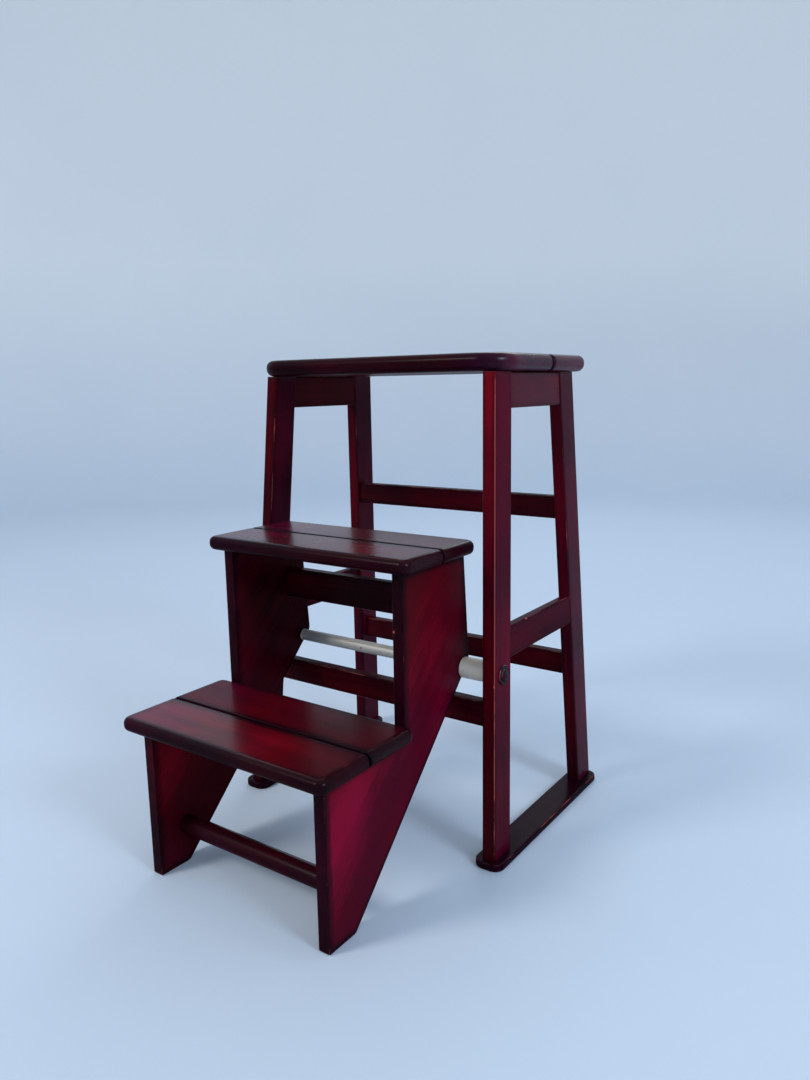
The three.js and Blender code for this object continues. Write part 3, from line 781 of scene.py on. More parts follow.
def drilled(mesh, cutters):
    """Takes the cutters out of a bmesh with exact booleans."""
    work = made("work", mesh, STAINED)
    for index, cutter in enumerate(cutters):
        tool = made(f"tool_{index}", cutter, STAINED)
        modifier = work.modifiers.new(tool.name, "BOOLEAN")
        modifier.object = tool
        modifier.operation = "DIFFERENCE"
        modifier.solver = "EXACT"
    result = evaluated_mesh(work)
    tools = [modifier.object for modifier in work.modifiers]
    for thing in (work, *tools):
        bpy.data.objects.remove(thing)
    return opened(result)


print("slices:", 1000 * SLICE, "mm long")

# %% [markdown]
# Shapes that follow a rule, or repeat, are grown by node trees. A modifier can show such a tree's
# result for as long as it is on an object, but the pieces have to be plain meshes. So a holder
# takes the tree just long enough to read the mesh that grows, and is then removed.

# %% Growing a mesh
def geometry_tree(name, inputs, result):
    """A new geometry tree, and what comes out of its named inputs."""
    nodes = Nodes(bpy.data.node_groups.new(name, "GeometryNodeTree"))
    sockets = [(socket, "INPUT", kind) for socket, kind in inputs.items()]
    for socket, way, kind in [*sockets, (result, "OUTPUT", "Geometry")]:
        nodes.tree.interface.new_socket(socket, in_out=way, socket_type=f"NodeSocket{kind}")
    return nodes, nodes.add("NodeGroupInput").outputs


def painted_tree(nodes, geometry, finish):
    """Ends a tree: copies become real, and all of it gets its finish."""
    real = nodes.add("GeometryNodeRealizeInstances", {"Geometry": geometry}).outputs[0]
    painted = nodes.add("GeometryNodeSetMaterial", {"Geometry": real, "Material": finish})
    nodes.add("NodeGroupOutput", {0: painted.outputs[0]})
    return nodes.tree


def grown(name, data, tree, values):
    """The mesh that a tree grows from a mesh. Inputs are set by their sockets' identifiers."""
    holder = placed(name, data)
    modifier = holder.modifiers.new(name, "NODES")
    modifier.node_group = tree
    for item in tree.interface.items_tree:
        if item.in_out == "INPUT" and item.name in values:
            modifier[item.identifier] = values[item.name]
    result = evaluated_mesh(holder)
    bpy.data.objects.remove(holder)
    return result


print("node trees so far:", len(bpy.data.node_groups))

# %% [markdown]
# The boards, runners and side panels follow one rule: a plan with rounded corners, whose rim is
# shaped by one profile all the way round. A router cuts it so on the real stool, a full round
# nose on the boards and a small easing on the panels. Bevelling each piece would work as well, but
# a rule is best kept in one node tree: the plan's corners are filleted, the profile is swept
# along it, and two filled faces close it.

# %% Node tree for boards with a shaped rim
WELD = 0.00001


def rounded_plan(nodes, given):
    """The plan's outline as a curve, with each corner filleted by its own radius."""
    line = nodes.add("GeometryNodeMeshToCurve", {"Mesh": given["Plan"]})
    radii = nodes.add("GeometryNodeInputNamedAttribute", {"Name": "corner"}, data_type="FLOAT")
    fillet = nodes.add("GeometryNodeFilletCurve", {
        "Curve": line.outputs[0],
        "Count": given["Corner points"],
        "Radius": radii.outputs[0],
    }, mode="POLY")
    return nodes.add("GeometryNodeSetCurveNormal", {"Curve": fillet.outputs[0]}, mode="Z_UP").outputs[0]


def rim_profile(nodes, given, half):
    """A quarter round, a straight wall and a quarter round again, from one face to the other."""
    reckon = nodes.reckon
    radius = given["Rim radius"]
    stick = nodes.add("GeometryNodeCurvePrimitiveLine", mode="POINTS").outputs[0]
    count = reckon("MULTIPLY_ADD", given["Rim steps"], 2, 1)
    points = nodes.add("GeometryNodeResampleCurve", {"Curve": stick, "Count": count}, mode="COUNT")
    index = nodes.add("GeometryNodeInputIndex").outputs[0]
    share = reckon("DIVIDE", index, reckon("SUBTRACT", count, 1))
    angle = reckon("MULTIPLY", reckon("SUBTRACT", share, 0.5), math.pi)
    inward = reckon("MULTIPLY", radius, reckon("SUBTRACT", reckon("COSINE", angle), 1))
    rise = reckon("MULTIPLY", radius, reckon("SINE", angle))
    wall = reckon("MULTIPLY", reckon("SIGN", angle), reckon("SUBTRACT", half, radius))
    spot = nodes.add("ShaderNodeCombineXYZ", {"X": inward, "Y": reckon("ADD", rise, wall)})
    moved = {"Geometry": points.outputs[0], "Position": spot.outputs[0]}
    return nodes.add("GeometryNodeSetPosition", moved).outputs[0]


def rim_tree():
    nodes, given = geometry_tree("board_with_shaped_rim", {
        "Plan": "Geometry",
        "Thickness": "Float",
        "Rim radius": "Float",
        "Rim steps": "Int",
        "Corner points": "Int",
        "Finish": "Material",
    }, "Board")
    add = nodes.add
    half = nodes.reckon("DIVIDE", given["Thickness"], 2)
    plan = rounded_plan(nodes, given)
    profile = rim_profile(nodes, given, half)
    rim = add("GeometryNodeCurveToMesh", {"Curve": plan, "Profile Curve": profile})

    normal = add("GeometryNodeInputNormal").outputs[0]
    inward = nodes.reckon("MULTIPLY", given["Rim radius"], -1)
    draw_in = add("ShaderNodeVectorMath", {0: normal, "Scale": inward}, operation="SCALE")
    outline = add("GeometryNodeSetPosition", {"Geometry": plan, "Offset": draw_in.outputs[0]})
    face = add("GeometryNodeFillCurve", {"Curve": outline.outputs[0]}, mode="NGONS")
    together = add("GeometryNodeJoinGeometry", {0: rim.outputs[0]})
    for side in (1, -1):
        level = add("ShaderNodeCombineXYZ", {"Z": nodes.reckon("MULTIPLY", half, side)})
        flat = add("GeometryNodeSetPosition", {"Geometry": face.outputs[0], "Offset": level.outputs[0]})
        nodes.join(together.inputs[0], flat.outputs[0])
    whole = add("GeometryNodeMergeByDistance", {"Geometry": together.outputs[0], "Distance": WELD})
    return painted_tree(nodes, whole.outputs[0], given["Finish"])


RIM_TREE = rim_tree()
print("board tree:", len(RIM_TREE.nodes), "nodes")

# %% [markdown]
# The tree takes a plan that is only points and lines. It could be drawn by hand, but its corners
# come from the model's sizes, and each brings its own radius as an attribute that the tree reads.

# %% Boards from the tree
RIM_STEPS = 8
CORNER_POINTS = 14


def shaped_board(corners, thickness, rim_radius, rim_steps=RIM_STEPS, corner_points=CORNER_POINTS):
    """A board with its plan in X and Y, midway at height zero, as a bmesh."""
    plan = bpy.data.meshes.new("plan")
    count = len(corners)
    edges = [(k, (k + 1) % count) for k in range(count)]
    plan.from_pydata([(a, b, 0) for a, b, _ in corners], edges, [])
    write_attribute(plan, "corner", "FLOAT", "value", np.array([radius for _, _, radius in corners]))
    mesh = opened(grown("plan", plan, RIM_TREE, {
        "Thickness": thickness,
        "Rim radius": rim_radius,
        "Rim steps": rim_steps,
        "Corner points": corner_points,
        "Finish": STAINED,
    }))
    bmesh.ops.recalc_face_normals(mesh, faces=mesh.faces)
    return mesh


print("a round nose has", 2 * RIM_STEPS, "facets, a corner", CORNER_POINTS, "points")

# %% [markdown]
# The seat and the two treads are each made of two boards with a narrow slit between them, which
# lets a hand in to carry the stool and lets the wood move. Each pair is one plank here, parted by
# a cut: the cut faces are filled, and a small bevel eases their arrises round the nose as well.
# Two boards made apart would need their noses matched at the slit.

# %% Boards in pairs
NOSE_FLAT = 0.002
# Painted shade in the slit: its cut edges keep this share of their tone and lacquer, and all of it this
# many times the easing away.
SLIT_PAINTED_SHADE = 0.35
SLIT_REACH = 1.5
EASE_SEGMENTS = 5


def painted_slit_shade(face, reach, cloud):
    """Paints shade on the cut edges of the slit, a darker tone and less lacquer, on top of whatever else
    a board's cloud is.
    """
    def shade(places):
        return soft(np.abs(places[:, 1] - face) / reach, SLIT_PAINTED_SHADE) * value_at(cloud, places)
    return shade


def parted(plank, face, keeps_front, ease):
    """Keeps the part of a plank in front of a cut or behind it, and eases the cut's arrises."""
    cut_across(plank, "Y", face, clear_outer=keeps_front, clear_inner=not keeps_front)
    edges = [edge for edge in plank.edges if edge.is_boundary]
    bmesh.ops.edgeloop_fill(plank, edges=edges)
    bmesh.ops.bevel(
        plank, geom=edges, offset=ease, segments=EASE_SEGMENTS, profile=0.5, affect="EDGES")
    return plank


def boarded(nodes, corner_radii, ease, body, names, looks):
    """Makes both boards of a seat or tread, the front one first, in place of their CAD nodes."""
    (front_low, front_high), (rear_low, rear_high) = [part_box(node) for node in nodes]
    front_radius, back_radius = corner_radii
    corners = [
        (front_low.x, front_low.y, front_radius),
        (front_high.x, front_low.y, front_radius),
        (front_high.x, rear_high.y, back_radius),
        (front_low.x, rear_high.y, back_radius),
    ]
    thickness = front_high.z - front_low.z
    middle = (front_high.z + front_low.z) / 2
    nose = (thickness - NOSE_FLAT) / 2
    for node, name, look, face in zip(nodes, names, looks, (front_high.y, rear_low.y)):
        plank = parted(shaped_board(corners, thickness, nose), face, node == nodes[0], ease)
        sliced(shifted(plank, (0, 0, middle)), "XY")
        shaded = look._replace(cloud=painted_slit_shade(face, SLIT_REACH * ease, look.cloud))
        piece = dressed(name, plank, body, node, GRAIN["X"], nosed_faces, shaded)
        print(name, len(piece.data.vertices), "points")


# The darker stain at the slit is painted shade.
print("a slit is stained darker over", SLIT_REACH, "times its easing")

# %% [markdown]
# The boards didn't come out alike. The lower front one is the brightest and the most worn, the one
# behind it is dull, and the colour changes along each, in part as painted sheen at their ends. One look
# for all would be quicker, but such differences are what makes it a used stool. So the looks differ in
# their numbers, and a function of the place says how a look changes along a board.

# %% Seat and treads
SEAT_SLIT_EASE = 0.0045
TREAD_SLIT_EASE = 0.0016
SEAT_FRONT_CORNER = 0.042
SEAT_BACK_CORNER = 0.016
TREAD_CORNER = 0.012


def along_board(start, end, at_start, at_end):
    """A value that turns softly from one to another, from one place on X to another."""
    return lambda places: soft((places[:, 0] - start) / (end - start), at_start, at_end)


# The lower front board is darker and carries less lacquer towards its right end.
RIGHT_END_DARKER = along_board(0.02, 0.15, 1, 0.5)
# The steps are painted more violet towards their left end, and the seat towards its right end: a painted
# sheen of bluish light.
STEP_LEFT_PAINTED_SHEEN = along_board(-0.02, -0.13, 0, 0.6)
SEAT_RIGHT_PAINTED_SHEEN = along_board(0.10, 0.17, 0, 0.9)
# The seat's right end is painted lighter and carries more lacquer: a painted sheen.
SEAT_END_PAINTED_SHEEN = along_board(0.184, 0.195, 1, 2.0)
SEAT_LOOK = Look(
    tone=0.58, dark=0.40, rim=0.010, wear=0.2, side=0.35, cloud=SEAT_END_PAINTED_SHEEN, violet=SEAT_RIGHT_PAINTED_SHEEN)
UPPER_STEP = Look(tone=0.62, dark=0.36, rim=0.008, wear=0.35, cool=0.15, side=0.2, violet=STEP_LEFT_PAINTED_SHEEN)
BRIGHT_STEP = Look(
    tone=0.76, dark=0.28, rim=0.008, wear=0.45, side=0.2, cloud=RIGHT_END_DARKER, violet=STEP_LEFT_PAINTED_SHEEN)
DARK_STEP = Look(tone=0.54, dark=0.36, rim=0.008, wear=0.35, shine=0.45, side=0.2, violet=STEP_LEFT_PAINTED_SHEEN)
boarded(("seat_front_board", "seat_rear_board"), (SEAT_FRONT_CORNER, SEAT_BACK_CORNER), SEAT_SLIT_EASE,
        "seat_frame", ("seat_board_front", "seat_board_rear"), (SEAT_LOOK, SEAT_LOOK))
for level, looks in (("upper", (UPPER_STEP, UPPER_STEP)), ("lower", (BRIGHT_STEP, DARK_STEP))):
    boarded((f"{level}_tread_front_board", f"{level}_tread_rear_board"), (TREAD_CORNER, TREAD_CORNER),
            TREAD_SLIT_EASE, "step_unit", (f"{level}_step_front", f"{level}_step_rear"), looks)

# %% [markdown]
# The steps turn on the tube, so both panels are bored for it, with room to turn. Where the pivot
# lies could be typed in, but it is read from the joint of the packed model, and the tube's size
# from its box, so that the bores stay right when the model changes.

# %% Pivot and bores
TURN_GAP = 0.0004
BORE_SIDES = 64
CUT_PAST = 0.01
pivot = Vector(frame["joints"][0]["pos_m"])
tube_low, tube_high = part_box("pivot_tube")
tube_radius = (tube_high.z - tube_low.z) / 2


def cylinder(radius, low, high, axis, place, sides=BORE_SIDES):
    """A round bar along an axis, as a bmesh. Place gives its middle line."""
    return shifted(prism(circle(radius, sides), low, high, axis), place)


def tube_bore(low, high):
    """What the tube's bore takes out of a panel between two places on X."""
    place = (0, pivot.y, pivot.z)
    return cylinder(tube_radius + TURN_GAP, low - CUT_PAST, high + CUT_PAST, "X", place)


print("the tube is", round(2000 * tube_radius, 1), "mm thick")

# %% [markdown]
# The side panels are cut from solid board in a stepped outline, with the grain along the slanting
# back edge, so that no corner is short-grained. They could be extruded and bevelled, but they come
# from the same tree as the boards: the outline's corners are read from the boards that rest on
# them and from the pivot. Their plan lies flat in the tree and is then stood up on its edge.

# %% Side panels
SLOPE = math.sqrt(0.5)
GRAIN_SLANTED = np.array(((0, SLOPE, SLOPE), (1, 0, 0), (0, SLOPE, -SLOPE)))
PANEL_LOOKS = {
    "left": Look(tone=0.78, dark=0.38, rim=0.004, wear=0.2),
    "right": Look(tone=1.1, dark=0.26, rim=0.004, wear=0.2, cool=0.1, side=0.03),
}
# Painted floor light: each panel's red is painted more violet towards the floor, by its share here,
# fully below the lower height and not at all above the upper one.
PANEL_PAINTED_FLOOR_LIGHT = {"left": 0.2, "right": 0.4}
FLOOR_LIGHT_ENDS_ABOVE = 0.33
FLOOR_LIGHT_FULL_BELOW = 0.12
# The stain is brightest in one long spot: its place from the toe, and its reach across the grain
# and along it.
SPRAYED_SPOT = (0.035, 0.15)
SPOT_REACH = (0.045, 0.11)
AROUND_SPOT = 0.58
FOOT_WEAR = 0.9
FOOT_HEIGHT = 0.006
PANEL_EASE = 0.0012
PANEL_FOOT = 0.046
PANEL_CORNER = 0.0025
KNEE_RISE = 0.006
KNEE_RADIUS = 0.012
KNEE_BACK = 0.0135
PANEL_TOP_BACK = 0.0015
TOE_RADIUS = 0.003
HEEL_RADIUS = 0.007
REST_GAP = 0.00025


def panel_outline(low, high):
    """The stepped outline of a panel in Y and Z, from its toe round to its lower ledge."""
    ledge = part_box("lower_tread_rear_board")[0].z - REST_GAP
    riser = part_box("lower_tread_rear_board")[1].y + REST_GAP
    return [
        (low.y, 0, TOE_RADIUS),
        (low.y + PANEL_FOOT, 0, HEEL_RADIUS),
        (pivot.y + KNEE_BACK, pivot.z + KNEE_RISE, KNEE_RADIUS),
        (pivot.y + PANEL_TOP_BACK, high.z, PANEL_CORNER),
        (riser, high.z, PANEL_CORNER),
        (riser, ledge, PANEL_CORNER),
        (low.y, ledge, PANEL_CORNER),
    ]


def side_panel(side_name):
    node = f"step_panel_{side_name}"
    look = PANEL_LOOKS[side_name]
    low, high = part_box(node)
    mesh = shaped_board(
        panel_outline(low, high), high.x - low.x, PANEL_EASE, rim_steps=3, corner_points=8)
    middle = (low.x + high.x) / 2
    for vertex in mesh.verts:
        vertex.co = LAY["X"](vertex.co.x, vertex.co.y, vertex.co.z + middle)
    panel = sliced(drilled(mesh, [tube_bore(low.x, high.x)]), "YZ")

    def wear(places):
        return np.where(places[:, 2] < FOOT_HEIGHT, FOOT_WEAR, look.wear)

    def sprayed(places):
        y = places[:, 1] - low.y - SPRAYED_SPOT[0]
        z = places[:, 2] - SPRAYED_SPOT[1]
        across = (y - z) * SLOPE / SPOT_REACH[0]
        along = (y + z) * SLOPE / SPOT_REACH[1]
        return AROUND_SPOT + (1 - AROUND_SPOT) * np.exp(-across ** 2 - along ** 2)

    # Painted bluish floor light, stronger towards the floor.
    def violet(places):
        share = (FLOOR_LIGHT_ENDS_ABOVE - places[:, 2]) / (FLOOR_LIGHT_ENDS_ABOVE - FLOOR_LIGHT_FULL_BELOW)
        return soft(share, 0, PANEL_PAINTED_FLOOR_LIGHT[side_name])

    stained = look._replace(wear=wear, cloud=sprayed, violet=violet)
    return dressed(
        f"panel_{side_name}", panel, "step_unit", node, GRAIN_SLANTED, board_faces("X"), stained)


for side_name in PANEL_LOOKS:
    print("panel", side_name, len(side_panel(side_name).data.vertices), "points")

# %% [markdown]
# The legs lean in two directions at once, sideways and fore or aft. A straight leg could be turned
# twice, but its ends must stay level. So each is a straight prism that is sheared: every point
# moves by how high it is. The faces of the legs, read from their boxes, also shape the rails.

# %% Legs
LEG_THICKNESS = 0.018
LEG_DEPTH = 0.042
LEG_ARRIS = 0.0025
SIDES = [(-1, "left"), (1, "right")]
# A leg's front corner line, part wear and part painted highlight, has this share of its strength at the
# foot, and all of it from this height up.
WEAR_AND_HIGHLIGHT_AT_FOOT = 0.5
WEAR_AND_HIGHLIGHT_FROM = 0.25
CORNER_WEAR_AND_HIGHLIGHT = {"front": 0.95, "rear": 0.15}
# Painted shade and light: how much of its tone a leg keeps at its foot and on its sides, and how violet
# its sides are painted for the bluish light on them.
FOOT_SHARE_IN_PAINTED_SHADE = 0.6
SIDE_SHARE_IN_PAINTED_SHADE = 0.82
SIDE_PAINTED_LIGHT_VIOLET = 0.4
REAR_LEG = Look(tone=0.66, dark=0.75, rim=0.004, wear=0.3, cool=0.2, side=0.15)
LEG_LOOKS = {
    # The left front leg's lower tone paints the shade it stands in.
    "front_left": Look(tone=0.50, dark=0.75, rim=0.004, wear=0.4),
    "front_right": Look(tone=0.76, dark=0.75, rim=0.004, wear=0.4, side=0.08),
    "rear_left": REAR_LEG,
    "rear_right": REAR_LEG._replace(side=0.28),
}


def between(low, high):
    """A value that runs evenly from (height, value) to (height, value)."""
    (z0, v0), (z1, v1) = low, high
    return lambda z: v0 + (v1 - v0) * (z - z0) / (z1 - z0)


front_low, front_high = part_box("front_leg_right")
rear_low, rear_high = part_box("rear_leg_right")
leg_outer = between((front_low.z, front_high.x), (front_high.z, front_low.x + LEG_THICKNESS))
front_face = between((front_low.z, front_low.y), (front_high.z, front_high.y - LEG_DEPTH))
rear_face = between((rear_low.z, rear_high.y - LEG_DEPTH), (rear_high.z, rear_low.y))


def leg(side, side_name, end, face):
    look = LEG_LOOKS[f"{end}_{side_name}"]
    inner, outer = sorted((0, -side * LEG_THICKNESS))
    outline = arc_outline(block(inner, outer, 0, LEG_DEPTH, LEG_ARRIS))
    mesh = sliced(prism(outline, front_low.z, front_high.z, "Z"), "Z")
    sliced(mesh, "XY", LEG_THICKNESS / 3)

    def lean(places):
        x, y, z = places.T
        return np.stack([x + side * leg_outer(z), y + face(z), z], axis=1)

    def wear(places):
        x, y, z = places.T
        share = np.clip(WEAR_AND_HIGHLIGHT_AT_FOOT + (1 - WEAR_AND_HIGHLIGHT_AT_FOOT) * z / WEAR_AND_HIGHLIGHT_FROM, 0, 1)
        on_corner = (np.abs(x) < 2 * LEG_ARRIS) & (y < 2 * LEG_ARRIS)
        return np.where(on_corner, CORNER_WEAR_AND_HIGHLIGHT[end] * share, look.wear)

    def on_side(places):
        return (places[:, 1] > LEG_ARRIS) & (places[:, 1] < LEG_DEPTH - LEG_ARRIS)

    # Painted shade: the front darker towards the foot, the sides darker all along.
    def painted_leg_shade(places):
        front = FOOT_SHARE_IN_PAINTED_SHADE + (1 - FOOT_SHARE_IN_PAINTED_SHADE) * np.clip(places[:, 2] / front_high.z, 0, 1)
        return np.where(on_side(places), SIDE_SHARE_IN_PAINTED_SHADE, front)

    # Painted bluish light on the sides.
    def violet(places):
        return SIDE_PAINTED_LIGHT_VIOLET * on_side(places)

    stained = look._replace(wear=wear, cloud=painted_leg_shade, violet=violet)
    return dressed(f"leg_{end}_{side_name}", mesh, "seat_frame", f"{end}_leg_{side_name}",
                   GRAIN["Z"], bar_faces("Z"), stained, lean)


for side, side_name in SIDES:
    leg(side, side_name, "front", front_face)
    leg(side, side_name, "rear", rear_face)
print("legs lean", round(leg_outer(0) - leg_outer(front_high.z), 4), "m sideways")

# %% [markdown]
# Screws go up through the aprons into the seat, and up through the runners into the legs. Their
# heads could simply sink into the wood, but from below that shows. So each gets a countersunk
# hole, a little wider than itself, at the place of its node in the packed model.

# %% Screw holes
SCREW_GAP = 0.0003
SCREW_MOUTH = 0.004
HEAD_DEPTH = 0.003
HEAD_RADIUS = 0.0045
SHANK_RADIUS = 0.0022
HOLE_SIDES = 24


def screw_foot(node):
    """The middle of a screw's head. All screws point up."""
    low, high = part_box(node)
    return Vector(((low.x + high.x) / 2, (low.y + high.y) / 2, low.z))


def screw_hole(node, moved=(0, 0, 0)):
    """The countersunk hole of a screw, as a bmesh."""
    head = HEAD_RADIUS + SCREW_GAP
    shank = SHANK_RADIUS + SCREW_GAP
    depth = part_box(node)[1].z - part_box(node)[0].z
    profile = [(0, -SCREW_MOUTH), (head, -SCREW_MOUTH), (head, 0), (shank, HEAD_DEPTH)]
    mesh = lathed([*profile, (shank, depth), (0, depth)], HOLE_SIDES)
    return shifted(mesh, screw_foot(node) + Vector(moved))


print("a screw's head is", 2000 * HEAD_RADIUS, "mm wide, its shank", 2000 * SHANK_RADIUS, "mm")

# %% [markdown]
# Aprons run along the sides under the seat, and stretchers lower down. They could be plain boxes
# that sink into the legs, but their ends show where they meet them. So they follow the slant of
# the legs, as a joiner marks them from the legs themselves.

# %% Aprons and stretchers
RAIL_ARRIS = 0.002
JOINT_GAP = 0.00025
SIDE_THICKNESS = {"seat_apron": 0.015, "side_stretcher": 0.012}
APRON_LOOKS = {
    "left": Look(tone=0.52, dark=0.8, rim=0.004, wear=0.2, cool=0.2, side=0.05),
    "right": Look(tone=0.60, dark=0.8, rim=0.004, wear=0.2, cool=0.4, side=0.4),
}
STRETCHER_LOOK = Look(tone=0.42, dark=0.7, rim=0.004, wear=0.55, cool=0.4, shine=0.2)
APRON_SCREWS = ("seat_screw_front", "seat_screw_rear")


def side_rail(side, side_name, kind, name, look, screws=()):
    """An apron or a stretcher. It is made and drilled upright, and then leans with the legs."""
    node = f"{kind}_{side_name}"
    low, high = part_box(node)
    thickness = SIDE_THICKNESS[kind]
    setback = leg_outer(low.z) - max(abs(low.x), abs(high.x))
    inner, outer = sorted((0, -side * thickness))
    outline = arc_outline(block(inner, outer, low.z, high.z, RAIL_ARRIS))
    front = front_face(low.z) + LEG_DEPTH
    back = rear_face(low.z)
    mesh = prism(outline, front, back, "Y")
    # The lean moves the holes back from here to the screws.
    upright = (side * (setback - leg_outer(low.z)), 0, 0)
    if screws:
        mesh = drilled(mesh, [screw_hole(f"{screw}_{side_name}", upright) for screw in screws])

    def lean(places):
        x, y, z = places.T
        start = front_face(z) + LEG_DEPTH + JOINT_GAP
        end = rear_face(z) - JOINT_GAP
        share = (y - front) / (back - front)
        return np.stack([x + side * (leg_outer(z) - setback), start + (end - start) * share, z], axis=1)

    sliced(mesh, "Y")
    sliced(mesh, "XZ", thickness / 2)
    return dressed(name, mesh, "seat_frame", node, GRAIN["Y"], bar_faces("Y"), look, lean)


for side, side_name in SIDES:
    side_rail(side, side_name, "seat_apron", f"apron_{side_name}", APRON_LOOKS[side_name], APRON_SCREWS)
    side_rail(side, side_name, "side_stretcher", f"stretcher_{side_name}", STRETCHER_LOOK)
print("side rails are", round(rear_face(0.2) - front_face(0.2) - LEG_DEPTH, 3), "m long, 0.2 m up")

# %% [markdown]
# Rails run across: one in front, on which the opened steps come to rest, two behind, and one under
# the upper step. Each could be cut square, but the legs stand wider at the foot, so a rail's ends
# are slanted with them. The one between the panels, which stand upright, does have square ends.

# %% Rails across
RAIL_LOOK = Look(tone=0.44, dark=0.7, rim=0.004, wear=0.45, shine=0.25)
STEP_RAIL_LOOK = Look(tone=0.26, dark=0.7, rim=0.004, wear=0.2, shine=0.25)


def cross_rail(node, name, body, end_at, look):
    low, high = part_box(node)
    outline = arc_outline(block(low.y, high.y, low.z, high.z, RAIL_ARRIS))
    reach = end_at(low.z)
    mesh = sliced(prism(outline, -reach, reach, "X"), "X")
    sliced(mesh, "YZ", (high.y - low.y) / 2)

    def lean(places):
        x, y, z = places.T
        return np.stack([x / reach * end_at(z), y, z], axis=1)

    return dressed(name, mesh, body, node, GRAIN["X"], bar_faces("X"), look, lean)


def to_legs(z):
    return leg_outer(z) - LEG_THICKNESS - JOINT_GAP


def to_panels(_):
    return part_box("step_panel_right")[0].x - JOINT_GAP


cross_rail("front_stop_rail", "stop_rail", "seat_frame", to_legs, RAIL_LOOK)
cross_rail("back_rail_upper", "rear_rail_upper", "seat_frame", to_legs, RAIL_LOOK)
cross_rail("back_rail_lower", "rear_rail_lower", "seat_frame", to_legs, RAIL_LOOK)
cross_rail("step_cross_rail", "rail_under_step", "step_unit", to_panels, STEP_RAIL_LOOK)
print("rails reach", round(to_legs(0.2), 4), "m to each side")

# %% [markdown]
# A runner lies on the floor under each pair of legs, with round ends and eased arrises. A prism
# would need its long arrises and its round ends eased apart, so it is one more board of the shaped
# rim tree, with countersunk holes for the screws that hold the legs.

# %% Runners
RUNNER_CORNER = 0.014
RUNNER_EASE = 0.0025
RUNNER_SCREWS = ("runner_screw_front", "runner_screw_rear")
RUNNER_LOOK = Look(tone=0.18, dark=0.8, rim=0.005, wear=0.4, cool=0.8, shine=0.2)


def runner(side_name):
    node = f"runner_{side_name}"
    low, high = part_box(node)
    corners = block(low.x, high.x, low.y, high.y, RUNNER_CORNER)
    mesh = shaped_board(corners, high.z - low.z, RUNNER_EASE, rim_steps=4)
    shifted(mesh, (0, 0, (high.z + low.z) / 2))
    holes = [screw_hole(f"{screw}_{side_name}") for screw in RUNNER_SCREWS]
    mesh = sliced(drilled(mesh, holes), "XY")
    return dressed(
        f"floor_runner_{side_name}", mesh, "seat_frame", node, GRAIN["Y"], board_faces("Z"), RUNNER_LOOK)


for _, side_name in SIDES:
    print("runner", side_name, len(runner(side_name).data.vertices), "points")

# %% [markdown]
# Eight screws hold the seat and the runners. They are one screw, repeated, so a loop of copies
# would do. A node tree does it in one place: it sets a copy on each point of a small cloud and
# gives each its own chance turn, as a fitter leaves them.

# %% Node tree for the screws
CROSS_WIDTH = 0.0011
CROSS_REACH = 0.0026
CROSS_DEPTH = 0.0016
SCREW_TIP = 0.004
SCREW_LAND = 0.0003
SCREW_SEED = 7


def screw_tree():
    inputs = {"Places": "Geometry", "Screw": "Object", "Chance": "Int", "Finish": "Material"}
    nodes, given = geometry_tree("screws_on_points", inputs, "Screws")
    screw = nodes.add("GeometryNodeObjectInfo", {"Object": given["Screw"]})
    chance = nodes.add("FunctionNodeRandomValue", {"Seed": given["Chance"]})
    # Its fourth input is the most that a random number may be.
    nodes.join(chance.inputs[3], math.pi)
    turn = nodes.add("ShaderNodeCombineXYZ", {"Z": chance.outputs[1]})
    copies = nodes.add("GeometryNodeInstanceOnPoints", {
        "Points": given["Places"],
        "Instance": screw.outputs["Geometry"],
        "Rotation": turn.outputs[0],
    })
    return painted_tree(nodes, copies.outputs[0], given["Finish"])


def screw_blank(length):
    """One screw, its head's face at height zero, with a cross cut into it."""
    profile = [(0, 0), (HEAD_RADIUS, 0), (HEAD_RADIUS, SCREW_LAND), (SHANK_RADIUS, HEAD_DEPTH)]
    blank = lathed([*profile, (SHANK_RADIUS, length - SCREW_TIP), (0, length)], HOLE_SIDES)
    half = CROSS_WIDTH / 2
    bars = []
    for a, b in ((CROSS_REACH, half), (half, CROSS_REACH)):
        outline = [(x, y) for x, y, _ in block(-a, a, -b, b, 0)]
        bars.append(prism(outline, -CROSS_DEPTH, CROSS_DEPTH, "Z"))
    return made("screw_blank", drilled(blank, bars), ZINC)


SCREW_TREE = screw_tree()


def screws(name, nodes):
    """All the screws of one kind as one piece, in place of their CAD nodes."""
    low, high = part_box(nodes[0])
    blank = screw_blank(high.z - low.z)
    feet = bpy.data.meshes.new("places")
    feet.from_pydata([screw_foot(node) for node in nodes], [], [])
    values = {"Screw": blank, "Chance": SCREW_SEED, "Finish": ZINC}
    piece = placed(name, grown("places", feet, SCREW_TREE, values))
    bpy.data.objects.remove(blank)
    piece.data.set_sharp_from_angle(angle=SHARP_ANGLE)
    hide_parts(*nodes)
    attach(piece, "seat_frame")
    return piece


for name, kinds in (("seat_screws", APRON_SCREWS), ("runner_screws", RUNNER_SCREWS)):
    piece = screws(name, [f"{kind}_{side_name}" for kind in kinds for _, side_name in SIDES])
    print(name, len(piece.data.polygons), "faces")

# %% [markdown]
# The bar between the feet is a plain dowel. It is a prism like the rails, with a round outline,
# and sliced as they are. A cylinder of Blender's own would have no points along its length for
# the stain to change on.

# %% Foot bar
FOOT_BAR_SIDES = 56
FOOT_BAR_LOOK = Look(tone=0.34, dark=0.8, rim=0.003, wear=0.5, cool=0.15)


